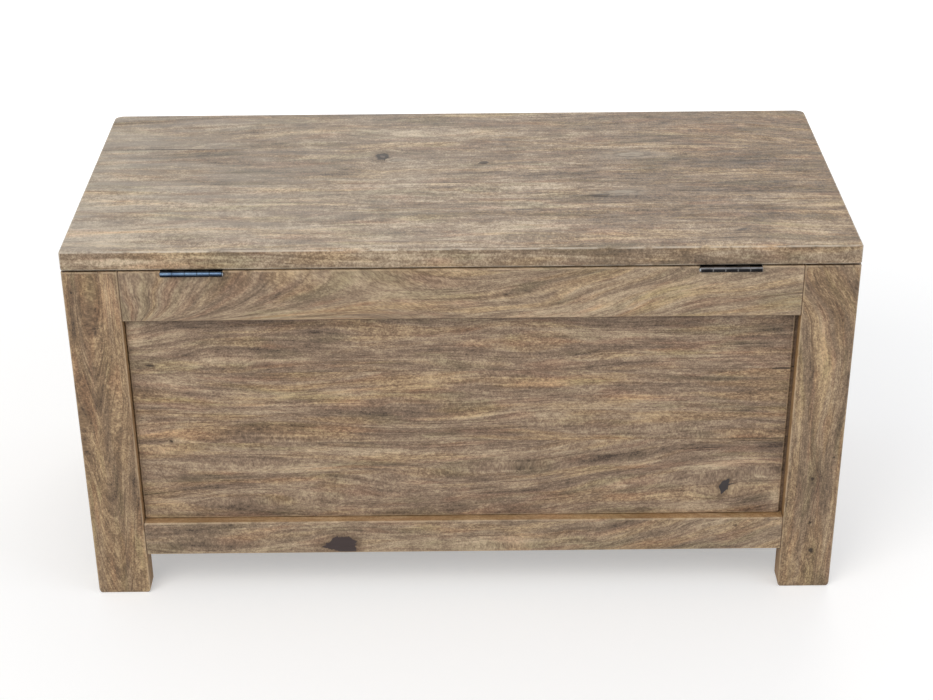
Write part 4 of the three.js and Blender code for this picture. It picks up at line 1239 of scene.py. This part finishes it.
def make_runner(side):
    """A drawer runner with the guide that stands on it between or beside the drawers."""
    name = f"{side}_runner"
    low, high = box_mm(name, "yzx")
    guide = {
        "left": (low[2], -OPENING_X), "centre": (-DIVIDER_HALF, DIVIDER_HALF),
        "right": (OPENING_X, high[2]),
    }[side]
    guide = (*guide, OPENING_BOTTOM - high[1])
    block = partial(
        section, c=(low[1], OPENING_BOTTOM), e=(low[2], high[2]), ease=(SMALL_EASE,) * 4, high=guide,
    )
    rows = capped(block(low[0]), [], block(high[0]), SMALL_EASE, COARSE)
    make_board(name, "yzx", rows, "inside_wood", "carcass", COARSE)


def make_inside():
    """The well's floor, its kickers, the drawer runners, and the lid's battens."""
    low, high = box_mm("well_floor")
    strips = low[1] + (high[1] - low[1]) * np.array(FLOOR_GLUE_LINES)
    make_plain("well_floor", "xyz", "inside_wood", "carcass", strips=strips)
    for side in ("left", "centre", "right"):
        make_plain(f"{side}_kicker", "yxz", "inside_wood", "carcass")
        make_runner(side)
    for side, _ in SIDES:
        make_plain(f"lid_batten_{side}", "yxz", "inside_wood", "lid", BATTEN_EASE, show=-1)


def make_drawer_boards(side):
    """A drawer: a front rebated over its sides, the sides, the back and a thin plywood bottom."""
    body = f"{side}_drawer"
    low, high = box_mm(f"{body}_front", "xzy")
    left_low, left_high = box_mm(f"{body}_left_side")
    inner = (left_high[0] + GLUE_PLAY, box_mm(f"{body}_right_side")[0][0] - GLUE_PLAY)
    ease = (DRAWER_EASE, SMALL_EASE, SMALL_EASE, DRAWER_EASE)
    board = partial(section, c=(low[1], high[1]), ease=ease)
    whole = partial(board, e=(low[2], high[2]))
    lapped = partial(board, e=(low[2], left_low[1] - GLUE_PLAY))
    rows = [lapped(inner[0]), whole(inner[0]), whole(inner[1]), lapped(inner[1])]
    rows = capped(lapped(low[0]), rows, lapped(high[0]), DRAWER_EASE, FINE)
    make_board(f"{body}_front", "xzy", rows, "frame_wood", body, show=-1)
    for hand, show in SIDES:
        make_plain(f"{body}_{hand}_side", "yzx", "inside_wood", body, show=show)
    make_plain(f"{body}_back", "xzy", "inside_wood", body)
    make_plain(f"{body}_bottom", "xyz", "plywood", body, BOTTOM_EASE)


make_camera()
make_legs()
for face_name, face_row in FACES.items():
    for rail_name in face_row[4]:
        make_rail(face_name, rail_name)
make_divider()
make_panels()
make_lid_boards()
make_inside()
for drawer_side, _ in SIDES:
    make_drawer_boards(drawer_side)


# Metal and felt: the lengths of their grains in mm, their reach and their shift
CLOUDS = ((14, 9, 9), (0.35, 0.65), 2.0)
SCUFFS = ((3, 1.2, 1.2), (0.6, 0.74), 9.0)
PITS = ((0.8, 0.8, 0.8), (0.4, 0.7), 5.0)
FELT_FIBRES = ((1.2, 0.5, 0.5), (0.3, 0.7), 1.0)
PIT_DEPTH = 0.03
PIT_STRENGTH = 0.6
FELT_NAP = 0.2
SCUFFED_STEEL = "#8d8b88"
LEAF_STEEL = "#3f3e3f"
# Painted shade on a hinge barrel: its colour and strength
PAINTED_SHADE = "#0f0e10"
PAINTED_SHADE_STRENGTH = 0.95
# A hinge's barrel in the frame: the place across beyond which it stands out of the leaves, where its
# knuckles start from the chest's middle and their length, and how near a knuckle's end its painted
# highlight or painted dark line lies
BARREL_START = 233.6
BARREL_FADE = 0.2
HINGE_START = 292.0
KNUCKLE = 15.2
KNUCKLE_END_START, KNUCKLE_END_FULL = 0.8, 0.3
# Each barrel: rows of an axis with its places of full painted shade and of clean metal, so that a
# clean band is left that reads as a highlight, then the colour of the knuckles' ends (a painted
# highlight on the black barrel, a painted dark line on the blue one) and its strength
BLUE_BARREL_LIGHT = ([("Z", 477.7, 478.9), ("Y", 235.6, 236.8)], "#16202c", 0.9)
BLACK_BARREL_LIGHT = ([("Z", 479.2, 480.2), ("Y", 236.6, 238.2)], "#8f8c89", 0.6)


def object_millimetres(tree):
    """The place on the object in mm."""
    place = add_node(tree, "TexCoord", out="Object")
    return add_node(tree, "Mapping", {"Vector": place, "Scale": (1 / MM,) * 3})


def painted_barrel_light(tree, millimetres, body, shade_rows, ends_code, ends_strength):
    """A hinge barrel with painted shade on its lower side and on its side towards the chest, which
    leaves a clean band that reads as a highlight.
    """
    level = add_node(tree, "SeparateXYZ", {"Vector": millimetres}, None)
    in_shade = 0.0
    for axis, full, clean in shade_rows:
        ramp = add_node(tree, "MapRange", {"Value": level[axis], "From Min": clean, "From Max": full})
        in_shade = add_node(tree, "Math", {0: in_shade, 1: ramp}, operation="MAXIMUM")
    barrel = add_node(tree, "MapRange", {
        "Value": level["Y"], "From Min": BARREL_START - BARREL_FADE, "From Max": BARREL_START + BARREL_FADE,
    })
    body = blend(tree, linear(LEAF_STEEL), body, barrel)
    in_shade = add_node(tree, "Math", {0: in_shade, 1: barrel}, operation="MULTIPLY")
    body = blend(tree, body, linear(PAINTED_SHADE), in_shade, PAINTED_SHADE_STRENGTH)
    # Painted highlight or painted dark line at each knuckle's end
    from_middle = add_node(tree, "Math", {0: level["X"]}, operation="ABSOLUTE")
    from_start = add_node(tree, "Math", {0: from_middle, 1: HINGE_START}, operation="SUBTRACT")
    to_end = add_node(tree, "Math", {0: from_start, 1: KNUCKLE / 2}, operation="PINGPONG")
    ends = add_node(tree, "MapRange", {
        "Value": to_end, "From Min": KNUCKLE_END_START, "From Max": KNUCKLE_END_FULL,
    })
    ends = add_node(tree, "Math", {0: ends, 1: barrel}, operation="MULTIPLY")
    return blend(tree, body, linear(ends_code), ends, ends_strength)


def make_steel(name, colour, tint, roughness, rubbed=0.4, barrel=None):
    """Dark steel, rubbed through here and there. Its colour is its oxide, except on the blue hinge,
    where the blue is a painted reflection of a blue sky.
    """
    material, tree, surface = new_material(name)
    millimetres = object_millimetres(tree)
    cloudy, scuffed, pitted = (pattern(tree, millimetres, *grains) for grains in (CLOUDS, SCUFFS, PITS))
    body = blend(tree, linear(colour), linear(tint), cloudy)
    body = blend(tree, body, linear(SCUFFED_STEEL), scuffed, rubbed)
    if barrel:
        body = painted_barrel_light(tree, millimetres, body, *barrel)
    set_inputs(tree, surface, {
        "Base Color": body,
        "Roughness": add_node(
            tree, "MapRange", {"Value": cloudy, "To Min": roughness[0], "To Max": roughness[1]},
        ),
        "Normal": add_node(
            tree, "Bump", {"Height": pitted, "Strength": PIT_STRENGTH, "Distance": PIT_DEPTH * MM},
        ),
        "Metallic": 1.0,
    })
    return material


def make_felt():
    """Pressed wool felt: matt, with a haze of fibres."""
    material, tree, surface = new_material("pressed_felt")
    fibres = pattern(tree, object_millimetres(tree), *FELT_FIBRES)
    set_inputs(tree, surface, {
        "Base Color": blend(tree, linear("#3f3630"), linear("#6a5d51"), fibres, 0.8),
        "Normal": add_node(tree, "Bump", {"Height": fibres, "Distance": FELT_NAP * MM}),
        "Roughness": 1.0,
    })
    return material


# The right hinge's blue is a painted reflection of a blue sky, carried in its metal colour
steels = {
    "blued": make_steel("blued_hinge_steel", "#43556e", "#54687f", (0.14, 0.24), 0.2, BLUE_BARREL_LIGHT),
    "black": make_steel("blackened_hinge_steel", "#6a696b", "#8f8e90", (0.1, 0.2), 0.8, BLACK_BARREL_LIGHT),
    "pin": make_steel("bright_pin_steel", "#9aa0a8", "#c3c7cb", (0.12, 0.22), 0.3),
    "plain": make_steel("blackened_stay_steel", "#403e3d", "#5a5653", (0.3, 0.45)),
}
cast_iron = make_steel("waxed_cast_iron", "#2f2c28", "#45403a", (0.45, 0.65))
felt = make_felt()

# How far the edges of the leaves and of the stay's parts are rounded, the angle up to which two
# faces are one, and the angle from which an edge is rounded
LEAF_EASE = 0.65
STAY_EASE = 0.3
FLAT_ANGLE = math.radians(1)
ROUNDED_ANGLE = math.radians(35)


def eased_copy(node, width, steel):
    """A steel part's CAD mesh, its triangles joined to whole flat faces and its edges rounded."""
    source = frame["nodes"][node]
    mesh = source.data.copy()
    edited = bmesh.new()
    edited.from_mesh(mesh)
    bmesh.ops.remove_doubles(edited, verts=edited.verts, dist=WELD * MM)
    bmesh.ops.dissolve_limit(edited, angle_limit=FLAT_ANGLE, verts=edited.verts, edges=edited.edges)
    edited.to_mesh(mesh)
    edited.free()
    mesh.polygons.foreach_set("use_smooth", np.ones(len(mesh.polygons), bool))
    piece = bpy.data.objects.new(node + "_steel", mesh)
    bpy.context.scene.collection.objects.link(piece)
    rounding = piece.modifiers.new("rounded_edges", "BEVEL")
    rounding.width = width * MM
    rounding.segments = 2
    rounding.limit_method = "ANGLE"
    rounding.angle_limit = ROUNDED_ANGLE
    piece.modifiers.new("whole_faces", "WEIGHTED_NORMAL").keep_sharp = True
    finish_piece(piece, source["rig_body"], steels[steel], [node])


def make_metal():
    """Hinge leaves and the lid stay, as packed and with their edges broken."""
    for side, steel in (("left", "black"), ("right", "blued")):
        for part in ("rail_leaf", "lid_leaf"):
            eased_copy(f"{side}_hinge_{part}", LEAF_EASE, steel)
    for node in ("stay_arm", "stay_stud_plate", "stay_lid_bracket"):
        eased_copy(node, STAY_EASE, "plain")


def turned(name, profile, centre, axis, first=None):
    """A profile carried round an axis, with its radius and height each one number or one per facet.

    Axis is the direction of height, and first the way that the first facet lies in.
    """
    axis = np.array(axis, float)
    if first is None:
        first = np.cross(axis, (0.0, 0.0, 1.0) if abs(axis[2]) < 0.5 else (1.0, 0.0, 0.0))
    round_way = np.outer(np.cos(AROUND), first) + np.outer(np.sin(AROUND), np.cross(axis, first))
    rings = [
        centre + np.outer(np.broadcast_to(height, FACETS), axis)
        + np.broadcast_to(radius, FACETS)[:, None] * round_way
        for radius, height in profile
    ]
    return fill_mesh(name, *welded(np.array(rings)))


PIN_RADIUS = 2.0
PIN_CHAMFER = 0.4
PIN_RIM = 0.3
PIN_DOME = 1.3
PIN_UNDERCUT = 0.2
DOME_POINTS = 7


def make_pins():
    """Hinge pins: a shank with a broken end, and a domed head towards the chest's middle.

    The dome is a quarter of an ellipse from the head's rim to the axis.
    """
    dome = np.linspace(0, math.pi / 2, DOME_POINTS)
    for side, sign in SIDES:
        name = f"{side}_hinge_pin"
        low, high = box_mm(name)
        head = (high[2] - low[2]) / 2
        centre = (low + high) / 2
        centre[0] = low[0] if sign < 0 else high[0]
        shank = high[0] - low[0] - PIN_RIM - PIN_DOME
        profile = [(0, 0), (PIN_RADIUS - PIN_CHAMFER, 0), (PIN_RADIUS, PIN_CHAMFER)]
        profile += [(PIN_RADIUS, shank), (head - PIN_UNDERCUT, shank)]
        profile += [(head * math.cos(t), shank + PIN_RIM + PIN_DOME * math.sin(t)) for t in dome]
        piece = turned(name + "_domed", profile, centre, (-sign, 0, 0))
        finish_piece(piece, "carcass", steels["pin"], [name])


# A knob's outline, from its crown to its seat: shares of its radius and of its reach
KNOB_PROFILE = [
    (0, 1), (0.22, 0.997), (0.42, 0.985), (0.6, 0.958), (0.76, 0.92), (0.88, 0.868), (0.96, 0.79),
    (1, 0.7), (1, 0.64), (0.96, 0.58), (0.9, 0.53), (0.76, 0.47), (0.6, 0.42), (0.48, 0.375),
    (0.41, 0.33), (0.375, 0.26), (0.38, 0.2), (0.43, 0.15), (0.5, 0.12), (0.64, 0.1), (0.69, 0.085),
    (0.69, 0.01),
]
KNOB_RADIUS = 16.0
KNOB_STUD = 2.5
STUD_CHAMFER = 0.4
# A washer's radius and height round its bore, and where it and the nut sit behind the front
WASHER_BORE = KNOB_STUD + 0.1
WASHER_PROFILE = [
    (WASHER_BORE, 0), (5.6, 0), (5.8, 0.2), (5.8, 0.8), (5.6, 1), (WASHER_BORE, 1), (WASHER_BORE, 0),
]
WASHER_SEAT = 0.05
NUT_SEAT = 1.1
NUT_FLATS = 8.0
NUT_THICKNESS = 4.0
NUT_BORE = KNOB_STUD + 0.05
# The chamfer's cone: the most that the radius can be, and how far from the nut's face
NUT_CHAMFER = ((NUT_FLATS / 2, 0.0), (4.35, 0.35), (NUT_FLATS, 0.7))


def make_nut(name, centre, body):
    """A hexagon nut: each ring's radius is the hexagon's, cut down by the chamfer's cone."""
    hexagon = NUT_FLATS / 2 / np.cos((AROUND + math.pi / 6) % (math.pi / 3) - math.pi / 6)
    half = [(NUT_BORE, 0.0)] + [(np.minimum(hexagon, most), rise) for most, rise in NUT_CHAMFER]
    profile = half + [(radius, NUT_THICKNESS - rise) for radius, rise in half[::-1]] + half[:1]
    finish_piece(turned(name, profile, centre, (0, 1, 0)), body, steels["plain"])


def make_knobs():
    """Turned iron knobs, each with its stud, washer and nut inside the drawer."""
    for side, _ in SIDES:
        body = f"{side}_drawer"
        low, high = box_mm(f"{body}_knob")
        front_low, front_high = box_mm(f"{body}_front")
        seat, end, inner = front_low[1] - GLUE_PLAY, high[1], front_high[1]
        centre = (low + high) / 2 * (1, 0, 1)
        profile = [(share * KNOB_RADIUS, seat - rise * (seat - low[1])) for share, rise in KNOB_PROFILE]
        profile += [(KNOB_STUD, seat - GLUE_PLAY), (KNOB_STUD, end - STUD_CHAMFER)]
        profile += [(KNOB_STUD - STUD_CHAMFER, end), (0, end)]
        piece = turned(f"{body}_turned_knob", profile, centre, (0, 1, 0))
        finish_piece(piece, body, cast_iron, [f"{body}_knob"])
        washer = [(radius, inner + WASHER_SEAT + rise) for radius, rise in WASHER_PROFILE]
        piece = turned(f"{body}_knob_washer", washer, centre, (0, 1, 0))
        finish_piece(piece, body, steels["plain"])
        make_nut(f"{body}_knob_nut", centre + (0, inner + NUT_SEAT, 0), body)


# A screw's head: its rings as shares of its radius, its dome in mm, and its slot's half width and
# depth as shares of its radius; then its shank's share and the length of its point
SCREW_RINGS = (0, 0.14, 0.3, 0.5, 0.7, 0.86, 0.96, 1.0)
SCREW_DOME = 0.22
SLOT_HALF = 0.17
SLOT_DEPTH = 0.24
SHANK_SHARE = 0.5
SCREW_POINT = 1.0
# Which way a screw's slot is turned
SLOT_TURN = (0.3, 0.8, 0.52)


def make_screw(name, place, axis, radius, length, body):
    """A countersunk screw: its head a low dome cut by a slot, its cone and its shank below.

    The rings run from the middle of the head outwards and down; the slot is a dip of the head's
    points that lie near one diameter.
    """
    profile = []
    for share in SCREW_RINGS:
        in_slot = np.abs(share * radius * np.cos(AROUND)) < radius * SLOT_HALF
        profile.append((share * radius, SCREW_DOME * (1 - share ** 2) - in_slot * radius * SLOT_DEPTH))
    shank = radius * SHANK_SHARE
    profile += [(shank, shank - radius), (shank, SCREW_POINT - length), (0, -length)]
    first = np.cross(axis, SLOT_TURN)
    piece = turned(name, profile, place, axis, first / np.linalg.norm(first))
    finish_piece(piece, body, steels["plain"])


# Screws of a hinge leaf, as shares of its length from its middle and of its reach from the barrel
HINGE_SCREW_SHARES = [(-0.36, 0.4), (0, 0.66), (0.36, 0.4)]
# Radius of a screw's head, and its length
HINGE_SCREW = (3.7, 16.0)
FITTING_SCREW = (3.2, 12.0)
# Sizes of the hinges and of the stay's fittings that say where their screws go
BARREL_RADIUS = 3.6
LEAF_THICKNESS = 2.0
PLATE_SCREW_INSET = 5.0
BRACKET_SCREW_INSET = 8.0
BRACKET_WIDTH = 22.0
BRACKET_LENGTH = 44.0
BRACKET_THICKNESS = 2.5


def make_hinge_screws():
    """Three screws in each hinge leaf, their heads in the leaf's face."""
    for side, sign in SIDES:
        for part, up, body in (("rail_leaf", -1, "carcass"), ("lid_leaf", 1, "lid")):
            low, high = box_mm(f"{side}_hinge_{part}")
            axis_z = high[2] - BARREL_RADIUS if up < 0 else low[2] + BARREL_RADIUS
            face = axis_z + up * (BARREL_RADIUS - LEAF_THICKNESS)
            edge = high[1] - 2 * BARREL_RADIUS - PLAY
            for i, (along, across) in enumerate(HINGE_SCREW_SHARES, 1):
                x = (low[0] + high[0]) / 2 + sign * along * (high[0] - low[0])
                place = np.array([x, edge - across * (edge - low[1]), face])
                make_screw(f"{side}_hinge_{part}_screw_{i}", place, (0, 0, -up), *HINGE_SCREW, body)


def make_stay_screws():
    """Two screws in the stay's stud plate and two in its bracket, one each way from the middle."""
    low, high = box_mm("stay_stud_plate")
    plate = (low + high) / 2
    plate[0] = high[0] - LEAF_THICKNESS
    plate_half = np.array([0, 0, (high[2] - low[2]) / 2 - PLATE_SCREW_INSET])
    low, high = box_mm("stay_lid_bracket")
    bracket = (low + high) / 2
    bracket[[0, 2]] = low[0] + BRACKET_WIDTH / 2, high[2] - BRACKET_THICKNESS
    bracket_half = np.array([0, BRACKET_LENGTH / 2 - BRACKET_SCREW_INSET, 0])
    for i, way in ((1, -1), (2, 1)):
        place = plate + way * plate_half
        make_screw(f"stay_stud_plate_screw_{i}", place, (-1, 0, 0), *FITTING_SCREW, "carcass")
    for i, way in ((1, -1), (2, 1)):
        place = bracket + way * bracket_half
        make_screw(f"stay_bracket_screw_{i}", place, (0, 0, -1), *FITTING_SCREW, "lid")


# How far a felt disc's edges are worn: in and up from below, down and in from above
PAD_LOW_EASE = 0.3
PAD_HIGH_EASE, PAD_HIGH_INSET = 0.4, 0.5


def make_pads():
    """Felt discs that take the front edge of the lid."""
    for side, _ in SIDES:
        name = f"lid_pad_{side}"
        low, high = box_mm(name)
        radius, tall = (high[0] - low[0]) / 2, high[2] - low[2]
        centre = (low + high) / 2
        centre[2] = low[2]
        profile = [(0, 0), (radius - PAD_LOW_EASE, 0), (radius, PAD_LOW_EASE)]
        profile += [(radius, tall - PAD_HIGH_EASE), (radius - PAD_HIGH_INSET, tall), (0, tall)]
        piece = turned(name + "_felt", profile, centre, (0, 0, 1))
        finish_piece(piece, "carcass", felt, [name])


make_metal()
make_pins()
make_knobs()
make_hinge_screws()
make_stay_screws()
make_pads()


# Stage, in metres
FLOOR_HALF = 9.0
FLOOR_GREY = (0.7, 0.7, 0.7, 1)
WHITE = (1, 1, 1, 1)
# How bright the floor is for the camera, near the chest and far from it
GLOW_START, GLOW_END = 1.0, 2.8
GLOW_NEAR, GLOW_FAR = 0.38, 1.38
SKY_STRENGTH = 0.62
LAMP_AIM = (0, 0, 0.25)


def seen_by(tree, *rays):
    """1 for rays of these kinds, 0 for all others."""
    path = add_node(tree, "LightPath", out=None)
    seen = 0.0
    for ray in rays:
        seen = add_node(tree, "Math", {0: seen, 1: path[f"Is {ray} Ray"]}, operation="MAXIMUM")
    return seen


def make_world():
    """An even, faintly cool sky of soft studio light, white for the camera, mirrors and glass."""
    world = bpy.data.worlds.new("studio")
    bpy.context.scene.world = world
    world.use_nodes = True
    tree = world.node_tree
    tree.nodes.clear()
    sky = add_node(tree, "Background", {"Color": linear("#f4f7fb"), "Strength": SKY_STRENGTH})
    white = add_node(tree, "Background", {"Color": WHITE, "Strength": 1.0})
    seen = seen_by(tree, "Camera", "Glossy", "Transmission")
    shader = add_node(tree, "MixShader", {0: seen, 1: sky, 2: white})
    add_node(tree, "OutputWorld", {"Surface": shader}, None)


def make_floor():
    """A pale floor, lit up a little for the camera alone so that it reads white and keeps shadows."""
    mesh = bpy.data.meshes.new("floor")
    corners = [(x * FLOOR_HALF, y * FLOOR_HALF, 0) for x, y in ((-1, -1), (1, -1), (1, 1), (-1, 1))]
    mesh.from_pydata(corners, [], [(0, 1, 2, 3)])
    floor = bpy.data.objects.new("floor", mesh)
    bpy.context.scene.collection.objects.link(floor)
    material, tree, surface = new_material("pale_floor")
    place = add_node(tree, "TexCoord", out="Object")
    away = add_node(tree, "VectorMath", {0: place}, "Value", operation="LENGTH")
    glow = add_node(tree, "MapRange", {
        "Value": away, "From Min": GLOW_START, "From Max": GLOW_END, "To Min": GLOW_NEAR, "To Max": GLOW_FAR,
    }, interpolation_type="SMOOTHSTEP")
    seen = seen_by(tree, "Camera", "Glossy")
    set_inputs(tree, surface, {
        "Base Color": FLOOR_GREY, "Roughness": 0.9, "Specular IOR Level": 0.1, "Emission Color": WHITE,
        "Emission Strength": add_node(tree, "Math", {0: seen, 1: glow}, operation="MULTIPLY"),
    })
    mesh.materials.append(material)
    floor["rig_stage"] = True


def make_lamp(name, place, size, watts, colour):
    """A square soft box that looks at the chest's middle."""
    lamp = bpy.data.lights.new(name, "AREA")
    lamp.shape = "SQUARE"
    lamp.size = size
    lamp.energy = watts
    lamp.color = linear(colour)[:3]
    box = bpy.data.objects.new(name, lamp)
    aim = Vector(LAMP_AIM) - Vector(place)
    box.rotation_mode = "QUATERNION"
    box.location = place
    box.rotation_quaternion = aim.to_track_quat("-Z", "Y")
    bpy.context.scene.collection.objects.link(box)


make_world()
make_floor()
make_lamp("key", (1.6, 2.4, 3.0), 2.2, 60, "#fff9f0")
make_lamp("fill", (-2.6, 1.4, 2.2), 2.0, 14, "#f2f6ff")
make_lamp("front", (-0.8, -3.0, 2.4), 2.4, 34, "#fffaf2")

bpy.context.scene.view_settings.view_transform = "Standard"
boxes = {"cad": cad_box, "visual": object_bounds()}
{key: [list(corner) for corner in box] for key, box in boxes.items()}
